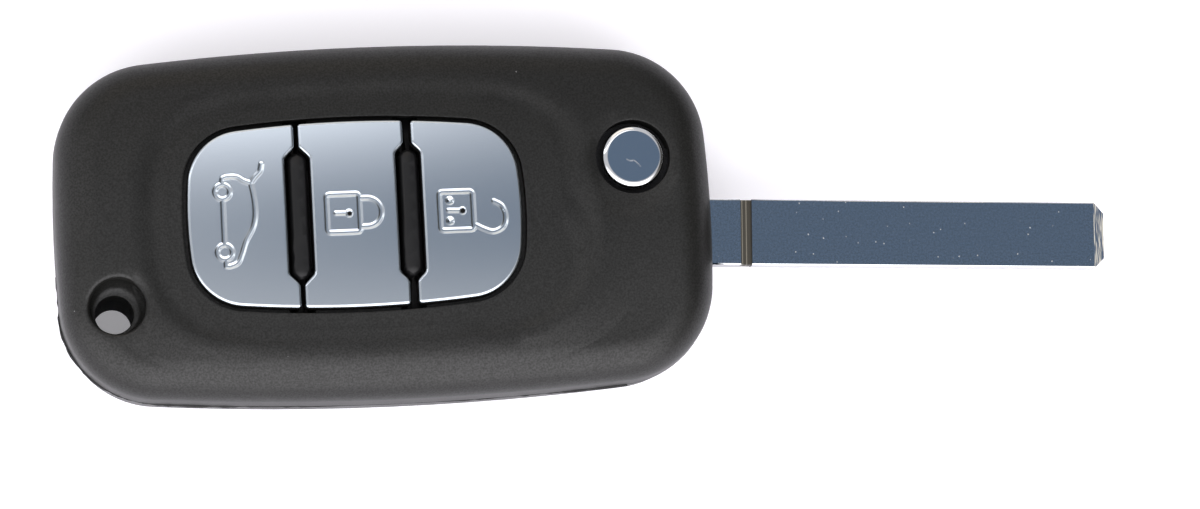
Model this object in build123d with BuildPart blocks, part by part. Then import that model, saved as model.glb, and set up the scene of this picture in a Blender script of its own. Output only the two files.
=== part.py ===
from build123d import *
import os
from math import asin, atan2, cos, degrees, radians, sin, sqrt, tan

# Folding car key: moulded two-piece case, three push keys, a sprung hub with a flat uncut
# blade, and the round release button that lets the hub turn.
# Millimetres. Origin on the flat underside, below the middle of the case.
# +X points to the blade, +Y to the side that the blade folds into, +Z up.

# Case, outline taken at the parting line
case_length = 68.8
case_width = 37.5
case_height = 15.0
parting_height = 7.4
side_bow_radius = 291.6
end_bow_radius = 134.9
case_corner_radius = 10.3
side_draft = 3.0
crown_radius_across = 150.0
crown_radius_along = 600.0
crown_spare = 1.0
shoulder_radius = 4.4
inner_slope_spread = 2.5
inner_slope = 45.0
base_edge_radius = 3.0
wall = 1.6
inner_wall = 1.0
seam_chamfer = 0.2
tongue_height = 0.8
tongue_thickness = 0.7
tongue_clearance = 0.1

# Push keys, outline of all three together
key_field_x = -3.45
key_field_y = 0.4
key_field_length = 34.6
key_field_width = 19.5
key_side_bow_radius = 121.0
key_end_bow_radius = 41.0
key_corner_radius = 5.7
key_window_gap = 0.5
key_lip = 0.7
key_lip_clearance = 0.15
key_sink = 0.1
key_edge_chamfer = 0.25
key_height = 3.1
key_travel = 0.6
key_stem_radius = 1.4
key_skin = 1.0
trunk_slot_x = -9.23
unlock_slot_x = 2.26
slot_width = 2.6
slot_length = 14.3
slot_corner_radius = 0.8
trunk_slot_gap = 0.4
unlock_slot_gap = 0.8

# Rubber mat under the keys, and the plate that carries it
mat_thickness = 0.8
mat_clearance = 0.3
dome_radius = 1.9
dome_gap = 0.05
divider_bar_width = 2.0
divider_bar_length = 13.2
divider_bar_sink = 0.6
divider_bar_edge_chamfer = 0.35
switch_pin_radius = 1.2
switch_pin_length = 1.0
switch_pin_clearance = 0.5
plate_x = -5.0
plate_length = 41.4
plate_width = 27.0
plate_corner_radius = 6.0
plate_thickness = 1.2
plate_depth = 5.8
plate_clearance = 0.3
plate_post_clearance = 0.2
stake_radius = 0.9
stake_clearance = 0.1
stake_spacing_x = 26.0
stake_spacing_y = 24.8

# Shallow dish moulded round the keys
dish_x = -2.2
dish_length = 46.0
dish_width = 27.0
dish_side_bow_radius = 200.0
dish_end_bow_radius = 60.0
dish_corner_radius = 9.0
dish_depth = 0.5
dish_rim_drop = 0.8
dish_slope = 65.0

# Folding hub
pivot_end_inset = 8.55
pivot_y = 5.4
blade_droop = 2.7
folded_angle = 180.0 + blade_droop
hub_radius = 8.2
arm_back = 4.0
arm_front = 8.4
arm_side = 12.2
arm_corner_radius = 1.6
arm_thickness = 5.2
arm_edge_chamfer = 0.35
barrel_radius = 5.6
barrel_floor_gap = 0.15
barrel_depth = 3.55
bore_radius = 4.2
bearing_clearance = 0.05
bearing_wall = 1.0
arm_clearance = 0.2
swing_clearance = 0.5

# Key blade
blade_thickness = 2.2
blade_width = 7.0
blade_offset = 7.0
blade_reach = 51.3
tang_width = 5.0
tang_start = 1.0
tang_clearance = 0.05
stop_groove_start = 12.1
stop_groove_width = 1.2
stop_groove_depth = 0.35
tip_bevel_length = 1.15
tip_bevel_depth = 0.45
tip_corner = 1.1
slot_height = 3.0
slot_plate_gap = 0.2
slot_end_clearance = 0.8
slot_side_clearance = 0.6
roll_pin_radius = 0.8
roll_pin_bore = 0.45
roll_pin_slit = 0.3
roll_pin_x = 4.8
roll_pin_clearance = 0.02

# Release button
release_hole_radius = 3.9
release_cap_radius = 3.26
release_cap_drop = 0.7
release_cap_height = 1.7
release_cap_edge_radius = 0.5
release_cap_skin = 0.8
release_stem_radius = 2.85
release_travel = 2.0
plunger_clearance = 0.08
plunger_height = 3.0
lug_width = 2.0
lug_height = 1.2
lug_reach = 5.4
lug_clearance = 0.08
lock_gap = 0.15
lock_depth = 1.0
release_dish_radius = 6.2
release_dish_depth = 0.6

# Spring that turns the hub and lifts the button, and its seat in the floor
spring_radius = 3.0
spring_wire = 0.7
spring_turns = 4.0
spring_wire_sides = 8
spring_leg = 0.8
spring_groove_inner = 2.35
spring_groove_outer = 3.6
spring_groove_depth = 0.85
spring_stop_width = 0.7
spring_stop_gap = 0.15
spring_seat_gap = 0.05
seat_flange_thickness = 0.9
seat_stop_height = 0.8
seat_flange_clearance = 0.3
seat_spigot_radius = 2.2
seat_spigot_height = 2.0
seat_key_length = 5.0
seat_key_width = 2.0
seat_key_depth = 0.7
seat_key_clearance = 0.05

# Key-ring hole
ring_end_inset = 5.85
ring_y = -8.73
ring_hole_radius = 2.0
ring_post_radius = 3.8
ring_recess_radius = 2.9
ring_recess_shift_x = 0.33
ring_recess_shift_y = 0.57
ring_recess_depth = 3.8
ring_rim_radius = 0.4

# Cell bay, contacts and board posts in the lower moulding
cell_x = -4.0
cell_y = -4.9
cell_radius = 10.0
cell_clearance = 0.3
cell_wall_top = 4.9
contact_gap = 6.0
contact_thickness = 0.3
contact_width = 4.0
contact_foot_length = 5.0
contact_bend_start = 1.0
contact_crest_reach = 4.0
contact_crest_height = 0.9
contact_tip_reach = 5.2
contact_tip_height = 0.7
contact_hook = 0.7
board_post_radius = 1.2
board_post_plate_gap = 1.0
board_posts = [(-23.0, -12.6), (-23.0, 4.3), (13.6, -13.0), (13.6, 4.3)]
chip_pocket_end_inset = 10.4
chip_pocket_y = -12.9
chip_pocket_length = 12.2
chip_pocket_width = 4.6
chip_pocket_top = 5.6
comb_pitch = 6.0
comb_count = 7

# Case screw
screw_end_inset = 5.2
screw_y = 2.6
screw_radius = 0.9
screw_head_radius = 1.8
screw_head_height = 1.2
screw_head_depth = 0.5
screw_depth = 4.0
screw_clearance = 0.15
screw_thread_clearance = 0.04
screw_boss_wall = 1.3
screw_recess = 0.5

# Heights and places that follow from the sizes above
key_bottom = case_height - key_height
plate_bottom = case_height - plate_depth
barrel_bottom = wall + barrel_floor_gap
barrel_top = case_height - barrel_depth
blade_height = plate_bottom - slot_plate_gap - slot_height / 2
release_cap_top = case_height - release_cap_drop
ring_recess_floor = case_height - ring_recess_depth
screw_top = case_height - screw_depth
board_post_top = plate_bottom - board_post_plate_gap
pivot_x = case_length / 2 - pivot_end_inset
ring_x = ring_end_inset - case_length / 2
screw_x = screw_end_inset - case_length / 2
chip_pocket_x = case_length / 2 - chip_pocket_end_inset
screw_post_radius = screw_head_radius + screw_clearance + screw_boss_wall
mat_bottom = plate_bottom + plate_thickness
mat_top = mat_bottom + mat_thickness
arm_bottom = blade_height - arm_thickness / 2
arm_top = blade_height + arm_thickness / 2
floor_bearing_top = arm_bottom - arm_clearance
roof_bearing_bottom = arm_top + arm_clearance
slot_bottom = blade_height - slot_height / 2
slot_top = blade_height + slot_height / 2
slot_inner_y = pivot_y + blade_offset - blade_width / 2 - slot_side_clearance
slot_end_x = pivot_x - blade_reach - slot_end_clearance
hub_reach = sqrt(arm_front**2 + arm_side**2)
bearing_radius = barrel_radius + bearing_clearance
lug_top = barrel_top
plunger_bottom = barrel_top - plunger_height
seat_flange_top = wall + seat_flange_thickness
hub_plane = Plane(
    origin=(pivot_x, pivot_y, 0),
    x_dir=(cos(radians(blade_droop)), -sin(radians(blade_droop)), 0),
    z_dir=(0, 0, 1),
)


def bowed_plan(length, width, side_bow, end_bow, corner):
    """Rounded rectangle whose four sides bulge as large arcs."""
    corner_x = length / 2
    for _ in range(12):
        corner_y = width / 2 - side_bow + sqrt(side_bow**2 - corner_x**2)
        corner_x = length / 2 - end_bow + sqrt(end_bow**2 - corner_y**2)
    with BuildSketch() as plan:
        with BuildLine():
            ThreePointArc((-corner_x, -corner_y), (0, -width / 2), (corner_x, -corner_y))
            ThreePointArc((corner_x, -corner_y), (length / 2, 0), (corner_x, corner_y))
            ThreePointArc((corner_x, corner_y), (0, width / 2), (-corner_x, corner_y))
            ThreePointArc((-corner_x, corner_y), (-length / 2, 0), (-corner_x, -corner_y))
        make_face()
        fillet(plan.vertices(), corner)
    return plan.sketch


def case_plan(inset):
    """Case outline at the parting line, moved in by inset."""
    return bowed_plan(
        case_length - 2 * inset,
        case_width - 2 * inset,
        side_bow_radius - inset,
        end_bow_radius - inset,
        case_corner_radius - inset,
    )


def key_plan(growth):
    """Outline of the three keys together, moved out by growth, about its own middle."""
    return bowed_plan(
        key_field_length + 2 * growth,
        key_field_width + 2 * growth,
        key_side_bow_radius + growth,
        key_end_bow_radius + growth,
        key_corner_radius + growth,
    )


def crowned_block(inset):
    """Block under the crowned top of the case, moved down by inset."""
    along = crown_radius_along - inset
    across = crown_radius_across - inset
    reach_y = case_width / 2 + 2
    drop = across - sqrt(across**2 - reach_y**2)
    swing = degrees(asin((case_length / 2 + 2) / along))
    axis_height = case_height - inset - along
    start = Plane(
        origin=(0, 0, axis_height),
        x_dir=(0, 1, 0),
        z_dir=(cos(radians(swing)), 0, sin(radians(swing))),
    )
    with BuildPart() as block:
        with BuildSketch(start):
            with BuildLine():
                ThreePointArc((-reach_y, along - drop), (0, along), (reach_y, along - drop))
                Polyline(
                    (reach_y, along - drop),
                    (reach_y, along - case_height - 1),
                    (-reach_y, along - case_height - 1),
                    (-reach_y, along - drop),
                )
            make_face()
        revolve(axis=Axis((0, 0, axis_height), (0, 1, 0)), revolution_arc=2 * swing)
    return block.part


def upper_block(inset):
    """Crowned block with drafted sides and sharp shoulders, moved in by inset on every side."""
    with BuildPart() as block:
        with BuildSketch(Plane(origin=(0, 0, parting_height), z_dir=(0, 0, -1))):
            add(case_plan(inset))
        extrude(amount=parting_height - case_height - crown_spare, taper=side_draft)
        add(crowned_block(inset), mode=Mode.INTERSECT)
    return block.part


def upper_room(inset):
    """Crowned block whose drafted sides turn into a slope below the shoulder, moved in by inset."""
    with BuildPart() as room:
        with BuildSketch(Plane(origin=(0, 0, parting_height), z_dir=(0, 0, -1))):
            add(case_plan(inset - inner_slope_spread))
        extrude(amount=parting_height - case_height, taper=inner_slope)
        add(upper_block(inset), mode=Mode.INTERSECT)
    return room.part


def lower_block(inset):
    """Block with drafted sides and a sharp bottom edge, moved in by inset on every side."""
    with BuildPart() as block:
        with BuildSketch(Plane.XY.offset(parting_height)):
            add(case_plan(inset))
        extrude(amount=inset - parting_height, taper=side_draft)
    return block.part


with BuildPart() as upper_outer:
    add(upper_block(0))
    fillet(upper_outer.faces().sort_by(Axis.Z)[-1].edges(), shoulder_radius)

with BuildPart() as lower_outer:
    add(lower_block(0))
    fillet(lower_outer.faces().sort_by(Axis.Z)[0].edges(), base_edge_radius)

with BuildPart() as lower_inner:
    add(lower_block(wall))
    chamfer(lower_inner.faces().sort_by(Axis.Z)[0].edges(), base_edge_radius - wall)

def hub_room(growth):
    """Room that the hub and its arm sweep, seen from above, moved out by growth."""
    spare = swing_clearance + growth
    with BuildSketch() as arm:
        with Locations(((arm_front - arm_back) / 2, -arm_side / 2)):
            Rectangle(arm_front + arm_back + 2 * spare, arm_side + 2 * spare)
    with BuildSketch() as sweep:
        Circle(hub_reach + spare)
        with Locations(Location((0, 0, 0), folded_angle / 2 + 180 - degrees(atan2(arm_side, arm_front)))):
            with Locations((growth, 0)):
                Rectangle(2 * hub_reach, 4 * hub_reach, align=(Align.MIN, Align.CENTER), mode=Mode.SUBTRACT)
    with BuildSketch() as room:
        with Locations((pivot_x, pivot_y)):
            Circle(hub_radius + spare)
        with Locations(Location((pivot_x, pivot_y, 0), -blade_droop)):
            add(arm.sketch)
            add(sweep.sketch)
        with Locations(Location((pivot_x, pivot_y, 0), folded_angle - blade_droop)):
            add(arm.sketch)
    return room.sketch


def blade_room(growth):
    """Room for the folded blade, seen from above, moved out by growth and open to the side."""
    with BuildSketch() as room:
        with Locations((slot_end_x - growth, slot_inner_y - growth)):
            Rectangle(pivot_x - slot_end_x + growth, case_width, align=(Align.MIN, Align.MIN))
    return room.sketch


with BuildSketch() as divider_plan:
    add(hub_room(inner_wall))
    add(blade_room(inner_wall))
    add(hub_room(0), mode=Mode.SUBTRACT)
    add(blade_room(0), mode=Mode.SUBTRACT)

with BuildPart() as mechanism_opening:
    with BuildSketch(Plane.XY.offset(slot_bottom)):
        add(blade_room(0))
    extrude(amount=slot_height)
    with BuildSketch(Plane.XY.offset(floor_bearing_top)):
        add(hub_room(0))
    extrude(amount=roof_bearing_bottom - floor_bearing_top)

with BuildSketch() as tongue_plan:
    add(case_plan(wall - tongue_thickness))
    add(case_plan(wall), mode=Mode.SUBTRACT)

with BuildSketch() as plate_plan:
    with Locations((plate_x, key_field_y)):
        RectangleRounded(plate_length, plate_width, plate_corner_radius)
    with Locations((ring_x, ring_y)):
        Circle(ring_post_radius + plate_post_clearance, mode=Mode.SUBTRACT)
    with Locations((screw_x, screw_y)):
        Circle(screw_post_radius + plate_post_clearance, mode=Mode.SUBTRACT)

slot_gaps = [
    (trunk_slot_x - key_field_x, trunk_slot_gap),
    (unlock_slot_x - key_field_x, unlock_slot_gap),
]
key_middles = [
    ((trunk_slot_x + key_field_x - key_field_length / 2) / 2, key_field_y),
    ((trunk_slot_x + unlock_slot_x) / 2, key_field_y),
    ((unlock_slot_x + key_field_x + key_field_length / 2) / 2, key_field_y),
]

# Upper case: black moulding with the key window, the release button hole and the hub's roof bearing
upper_clip = upper_room(wall / 2)

with BuildPart() as lower_clip:
    add(lower_block(wall / 2))
    chamfer(lower_clip.faces().sort_by(Axis.Z)[0].edges(), base_edge_radius - wall)


def roof_rib(plan, bottom):
    """Wall or post of the given plan that hangs from the roof down to bottom."""
    with BuildPart() as rib:
        with BuildSketch(Plane.XY.offset(bottom)):
            add(plan)
        extrude(amount=case_height - bottom)
        add(upper_clip, mode=Mode.INTERSECT)
    return rib.part


def floor_rib(plan, top):
    """Wall or post of the given plan that stands on the floor up to top."""
    with BuildPart() as rib:
        with BuildSketch(Plane.XY.offset(wall / 2)):
            add(plan)
        extrude(amount=parting_height - wall / 2)
        add(lower_clip.part, mode=Mode.INTERSECT)
        split(bisect_by=Plane.XY.offset(min(top, parting_height)), keep=Keep.BOTTOM)
        if top > parting_height:
            with BuildSketch(Plane.XY.offset(parting_height)):
                add(plan)
            extrude(amount=top - parting_height)
    return rib.part


with BuildSketch() as upper_divider:
    add(divider_plan.sketch)
    with Locations((plate_x, key_field_y)):
        Rectangle(plate_length + 2 * plate_clearance, plate_width + 2 * plate_clearance, mode=Mode.SUBTRACT)

with BuildSketch() as key_surround:
    with Locations((key_field_x, key_field_y)):
        add(key_plan(key_window_gap + key_lip + mat_clearance + inner_wall))
        add(key_plan(key_window_gap + key_lip + mat_clearance), mode=Mode.SUBTRACT)

with BuildSketch() as stakes:
    with Locations((plate_x, key_field_y)):
        with GridLocations(stake_spacing_x, stake_spacing_y, 2, 2):
            Circle(stake_radius)

with BuildSketch() as ring_post:
    with Locations((ring_x, ring_y)):
        Circle(ring_post_radius)
        Circle(ring_hole_radius, mode=Mode.SUBTRACT)

with BuildSketch() as screw_post:
    with Locations((screw_x, screw_y)):
        Circle(screw_post_radius)

with BuildSketch() as bearing_post:
    with Locations((pivot_x, pivot_y)):
        Circle(bearing_radius + bearing_wall)
        Rectangle(case_length / 2, 2 * (bearing_radius + bearing_wall), align=(Align.MIN, Align.CENTER))

from_below = (Align.CENTER, Align.CENTER, Align.MIN)
recess_place = (ring_x + ring_recess_shift_x, ring_y + ring_recess_shift_y, ring_recess_floor)
recess_rim = (recess_place[0] + ring_recess_radius, recess_place[1], case_height)

with BuildPart() as upper_ring_post:
    add(roof_rib(ring_post.sketch, parting_height))
    with Locations(recess_place):
        Cylinder(ring_recess_radius, case_height, align=from_below, mode=Mode.SUBTRACT)

upper_ribs = [
    upper_ring_post.part,
    roof_rib(upper_divider.sketch, parting_height),
    roof_rib(screw_post.sketch, parting_height),
    roof_rib(bearing_post.sketch, roof_bearing_bottom),
    roof_rib(stakes.sketch, plate_bottom),
]

# Shallow dish round the keys: its floor follows the crown, and its rim slopes
dish_floor = crowned_block(dish_depth)
dish_foot = case_height - dish_depth - crown_spare
dish_inset = (case_height - dish_rim_drop - dish_foot) * tan(radians(dish_slope))
with BuildPart() as key_dish:
    with BuildSketch(Plane.XY.offset(dish_foot)):
        with Locations((dish_x, key_field_y)):
            add(
                bowed_plan(
                    dish_length - 2 * dish_inset,
                    dish_width - 2 * dish_inset,
                    dish_side_bow_radius - dish_inset,
                    dish_end_bow_radius - dish_inset,
                    dish_corner_radius - dish_inset,
                )
            )
    extrude(amount=2 * crown_spare, taper=-dish_slope)
    add(dish_floor, mode=Mode.SUBTRACT)

with BuildPart() as upper_case:
    add(upper_outer.part)
    chamfer(upper_case.faces().sort_by(Axis.Z)[0].edges(), seam_chamfer)
    # Key-ring hole in its recess with a rounded rim
    with Locations((ring_x, ring_y, parting_height)):
        Cylinder(ring_hole_radius, case_height, align=from_below, mode=Mode.SUBTRACT)
    with Locations(recess_place):
        Cylinder(ring_recess_radius, case_height, align=from_below, mode=Mode.SUBTRACT)
    fillet(upper_case.edges().sort_by_distance(recess_rim)[0], ring_rim_radius)
    add(key_dish, mode=Mode.SUBTRACT)
    add(upper_room(wall), mode=Mode.SUBTRACT)
    add(upper_ribs)
    # Pilot hole for the screw
    with Locations((screw_x, screw_y, parting_height)):
        Cylinder(
            screw_radius + screw_thread_clearance,
            screw_top + screw_clearance - parting_height,
            align=from_below,
            mode=Mode.SUBTRACT,
        )
    # Wall round the key window
    with BuildSketch(Plane.XY.offset(mat_bottom + mat_clearance)):
        add(key_surround.sketch)
    extrude(amount=case_height - wall - mat_bottom - mat_clearance)
    # Groove for the tongue of the lower case
    with BuildSketch(Plane.XY.offset(parting_height)):
        add(case_plan(wall - tongue_thickness - tongue_clearance))
        add(case_plan(wall + tongue_clearance), mode=Mode.SUBTRACT)
    extrude(amount=tongue_height + tongue_clearance, mode=Mode.SUBTRACT)
    add(mechanism_opening, mode=Mode.SUBTRACT)
    # Key window
    with BuildSketch(Plane.XY.offset(mat_top)):
        with Locations((key_field_x, key_field_y)):
            add(key_plan(key_window_gap))
    extrude(amount=case_height, mode=Mode.SUBTRACT)
    # Bore of the roof bearing, hole for the button and notches for its two lugs
    with BuildSketch(Plane.XY.offset(roof_bearing_bottom)):
        with Locations((pivot_x, pivot_y)):
            Circle(bearing_radius)
    extrude(amount=lug_top + lock_gap - roof_bearing_bottom, mode=Mode.SUBTRACT)
    with BuildSketch(Plane.XY.offset(lug_top)):
        with Locations((pivot_x, pivot_y)):
            Circle(release_hole_radius)
    extrude(amount=case_height, mode=Mode.SUBTRACT)
    with BuildSketch(hub_plane.rotated((0, 0, blade_droop / 2)).offset(lug_top)):
        Circle(bearing_radius)
        Rectangle(
            2 * bearing_radius,
            lug_width + 2 * lug_clearance + 2 * bearing_radius * radians(blade_droop / 2),
            mode=Mode.INTERSECT,
        )
    extrude(amount=lock_gap + lock_depth, mode=Mode.SUBTRACT)
    # Shallow round dish at the button
    dish_ball = (release_dish_radius**2 + release_dish_depth**2) / (2 * release_dish_depth)
    roof_at_pivot = case_height - pivot_x**2 / (2 * crown_radius_along) - pivot_y**2 / (2 * crown_radius_across)
    with Locations((pivot_x, pivot_y, roof_at_pivot - release_dish_depth + dish_ball)):
        Sphere(dish_ball, mode=Mode.SUBTRACT)

# Lower case: black moulding with the flat underside, the cell bay and the hub's floor bearing
with BuildSketch() as comb:
    comb_middle = slot_end_x + comb_pitch * (comb_count + 1) / 2
    with Locations((comb_middle, slot_inner_y)):
        with GridLocations(comb_pitch, 1, comb_count, 1):
            Rectangle(inner_wall, case_width, align=(Align.CENTER, Align.MIN))

with BuildSketch() as cell_wall:
    with Locations((cell_x, cell_y)):
        Circle(cell_radius + cell_clearance + inner_wall)
        Circle(cell_radius + cell_clearance, mode=Mode.SUBTRACT)
        Rectangle(2 * cell_radius, contact_gap, align=(Align.MIN, Align.CENTER), mode=Mode.SUBTRACT)

with BuildSketch() as post_plan:
    with Locations(*board_posts):
        Circle(board_post_radius)

with BuildSketch() as chip_pocket:
    with Locations((chip_pocket_x, chip_pocket_y + chip_pocket_width / 2 + inner_wall)):
        Rectangle(chip_pocket_length + 2 * inner_wall, case_width / 2, align=(Align.CENTER, Align.MAX))
    with Locations((chip_pocket_x, chip_pocket_y)):
        Rectangle(chip_pocket_length, chip_pocket_width, mode=Mode.SUBTRACT)

lower_ribs = [
    floor_rib(divider_plan.sketch, parting_height),
    floor_rib(ring_post.sketch, parting_height),
    floor_rib(screw_post.sketch, parting_height),
    floor_rib(bearing_post.sketch, floor_bearing_top),
    floor_rib(comb.sketch, slot_bottom),
    floor_rib(cell_wall.sketch, cell_wall_top),
    floor_rib(post_plan.sketch, board_post_top),
    floor_rib(chip_pocket.sketch, chip_pocket_top),
]

with BuildPart() as lower_case:
    add(lower_outer.part)
    chamfer(lower_case.faces().sort_by(Axis.Z)[-1].edges(), seam_chamfer)
    add(lower_inner.part, mode=Mode.SUBTRACT)
    add(lower_ribs)
    with BuildSketch(Plane.XY.offset(parting_height - tongue_height)):
        add(tongue_plan.sketch)
    extrude(amount=2 * tongue_height)
    add(mechanism_opening, mode=Mode.SUBTRACT)
    # Bore of the floor bearing and the pocket that keys the spring seat
    with BuildSketch(Plane.XY.offset(wall)):
        with Locations((pivot_x, pivot_y)):
            Circle(bearing_radius)
    extrude(amount=floor_bearing_top - wall, mode=Mode.SUBTRACT)
    with BuildSketch(Plane.XY.offset(wall - seat_key_depth - seat_key_clearance)):
        with Locations((pivot_x, pivot_y)):
            Rectangle(seat_key_length + 2 * seat_key_clearance, seat_key_width + 2 * seat_key_clearance)
    extrude(amount=wall, mode=Mode.SUBTRACT)
    # Key-ring hole and the screw's counterbored hole
    with Locations((ring_x, ring_y, 0)):
        Cylinder(ring_hole_radius, parting_height, align=from_below, mode=Mode.SUBTRACT)
    with BuildSketch():
        with Locations((screw_x, screw_y)):
            Circle(screw_head_radius + screw_clearance)
    extrude(amount=screw_head_depth + screw_head_height, mode=Mode.SUBTRACT)
    with BuildSketch():
        with Locations((screw_x, screw_y)):
            Circle(screw_radius + screw_clearance)
    extrude(amount=parting_height, mode=Mode.SUBTRACT)

# Push keys: three satin caps cut from one outline, each with a lip below the window's edge
key_top = crowned_block(key_sink)
key_hollow_top = crowned_block(key_sink + key_skin)
lip_top = crowned_block(wall + key_lip_clearance)


def key_slot(gap):
    """Slot between two keys: wide for the bar, tapering at both ends to the narrow gap."""
    with BuildSketch() as slot:
        Rectangle(slot_width, slot_length)
        chamfer(slot.vertices(), (slot_width - gap) / 2)
        Rectangle(gap, case_width)
        fillet(slot.vertices().filter_by_position(Axis.Y, -slot_length, slot_length), slot_corner_radius)
    return slot.sketch


with BuildSketch() as caps_plan:
    add(key_plan(0))
    for slot_x, gap in slot_gaps:
        with Locations((slot_x, 0)):
            add(key_slot(gap), mode=Mode.SUBTRACT)

with BuildSketch() as lips_plan:
    add(key_plan(key_window_gap + key_lip))
    for slot_x, gap in slot_gaps:
        with Locations((slot_x, 0)):
            Rectangle(slot_width, case_width, mode=Mode.SUBTRACT)

with BuildSketch() as hollows_plan:
    add(key_plan(-key_skin))
    for slot_x, gap in slot_gaps:
        with Locations((slot_x, 0)):
            Rectangle(slot_width + 2 * key_skin, case_width, mode=Mode.SUBTRACT)


def push_key(index):
    """Cap of the key with this place in the row, counted from the key-ring end."""
    cap_face = caps_plan.sketch.faces().sort_by(Axis.X)[index]
    lip_face = lips_plan.sketch.faces().sort_by(Axis.X)[index]
    hollow_face = hollows_plan.sketch.faces().sort_by(Axis.X)[index]
    with BuildPart() as cap:
        with BuildSketch(Plane.XY.offset(key_bottom)):
            with Locations((key_field_x, key_field_y)):
                add(cap_face)
        extrude(amount=case_height + crown_spare - key_bottom)
        add(key_top, mode=Mode.INTERSECT)
        chamfer(cap.faces().sort_by(Axis.Z)[-1].edges(), key_edge_chamfer)
    with BuildPart() as lip:
        with BuildSketch(Plane.XY.offset(key_bottom)):
            with Locations((key_field_x, key_field_y)):
                add(lip_face)
        extrude(amount=case_height - key_bottom)
        add(lip_top, mode=Mode.INTERSECT)
    with BuildPart() as hollow:
        with BuildSketch(Plane.XY.offset(key_bottom)):
            with Locations((key_field_x, key_field_y)):
                add(hollow_face)
        extrude(amount=case_height - key_bottom)
        add(key_hollow_top, mode=Mode.INTERSECT)
    with BuildPart() as key:
        add(cap)
        add(lip)
        add(hollow, mode=Mode.SUBTRACT)
        with BuildSketch(Plane.XY.offset(key_bottom)):
            with Locations(key_middles[index]):
                Circle(key_stem_radius)
        extrude(amount=case_height - key_sink - key_skin - key_bottom)
    return key.part


button_trunk = push_key(0)
button_lock = push_key(1)
button_unlock = push_key(2)

# Rubber mat: a dome under each key, a pin under each dome and the two bars seen between the keys
with BuildPart() as bars:
    with BuildSketch(Plane.XY.offset(mat_bottom)):
        for slot_x, gap in slot_gaps:
            with Locations((key_field_x + slot_x, key_field_y)):
                SlotOverall(divider_bar_length, divider_bar_width, rotation=90)
    extrude(amount=case_height - mat_bottom)
    add(crowned_block(divider_bar_sink), mode=Mode.INTERSECT)
    chamfer(bars.faces().sort_by(Axis.Z)[-2:].edges(), divider_bar_edge_chamfer)

with BuildPart() as keypad_mat:
    with BuildSketch(Plane.XY.offset(mat_bottom)):
        with Locations((key_field_x, key_field_y)):
            add(key_plan(key_window_gap + key_lip))
    extrude(amount=mat_thickness)
    with BuildSketch(Plane.XY.offset(mat_top)):
        with Locations(*key_middles):
            Circle(dome_radius)
    extrude(amount=key_bottom - dome_gap - mat_top)
    with BuildSketch(Plane.XY.offset(mat_bottom - switch_pin_length)):
        with Locations(*key_middles):
            Circle(switch_pin_radius)
    extrude(amount=switch_pin_length)
    add(bars)

# Plate under the mat, held by the four stakes, whose rib closes the blade's slot
with BuildPart() as keypad_plate:
    with BuildSketch(Plane.XY.offset(plate_bottom)):
        add(plate_plan.sketch)
        with Locations(*key_middles):
            Circle(switch_pin_radius + switch_pin_clearance, mode=Mode.SUBTRACT)
        with Locations((plate_x, key_field_y)):
            with GridLocations(stake_spacing_x, stake_spacing_y, 2, 2):
                Circle(stake_radius + stake_clearance, mode=Mode.SUBTRACT)
    extrude(amount=plate_thickness)
    with BuildSketch(Plane.XY.offset(parting_height + tongue_clearance)):
        add(blade_room(inner_wall))
        add(blade_room(0), mode=Mode.SUBTRACT)
        add(plate_plan.sketch, mode=Mode.INTERSECT)
    extrude(amount=plate_bottom - parting_height - tongue_clearance)

# Hub: cast barrel with the arm that holds the blade
with BuildPart() as flip_hub:
    with BuildSketch(hub_plane.offset(arm_bottom)) as hub_plan:
        Circle(hub_radius)
        with Locations(((arm_front - arm_back) / 2, -arm_side / 2)):
            Rectangle(arm_front + arm_back, arm_side)
        fillet(hub_plan.vertices().sort_by(Axis.Y)[:2], arm_corner_radius)
    extrude(amount=arm_thickness)
    chamfer(flip_hub.faces().filter_by(Axis.Z).edges(), arm_edge_chamfer)
    with BuildSketch(hub_plane.offset(barrel_bottom)):
        Circle(barrel_radius)
    extrude(amount=barrel_top - barrel_bottom)
    with BuildSketch(hub_plane.offset(barrel_bottom)):
        Circle(bore_radius)
    extrude(amount=barrel_top - barrel_bottom, mode=Mode.SUBTRACT)
    # Slot for the tang and the hole for its pin
    with BuildSketch(hub_plane.offset(blade_height - blade_thickness / 2 - tang_clearance)):
        with Locations((tang_start - tang_clearance, -blade_offset)):
            Rectangle(hub_radius, tang_width + 2 * tang_clearance, align=(Align.MIN, Align.CENTER))
    extrude(amount=blade_thickness + 2 * tang_clearance, mode=Mode.SUBTRACT)
    with BuildSketch(hub_plane.offset(arm_bottom)):
        with Locations((roll_pin_x, -blade_offset)):
            Circle(roll_pin_radius + roll_pin_clearance)
    extrude(amount=arm_thickness, mode=Mode.SUBTRACT)
    # Upright slots for the two lugs of the plunger
    with BuildSketch(hub_plane.offset(lug_top - lug_height - release_travel - lock_gap)):
        Rectangle(2 * barrel_radius, lug_width + 2 * lug_clearance)
        Circle(lug_reach + lug_clearance, mode=Mode.INTERSECT)
    extrude(amount=lug_height + release_travel + lock_gap, mode=Mode.SUBTRACT)

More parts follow.
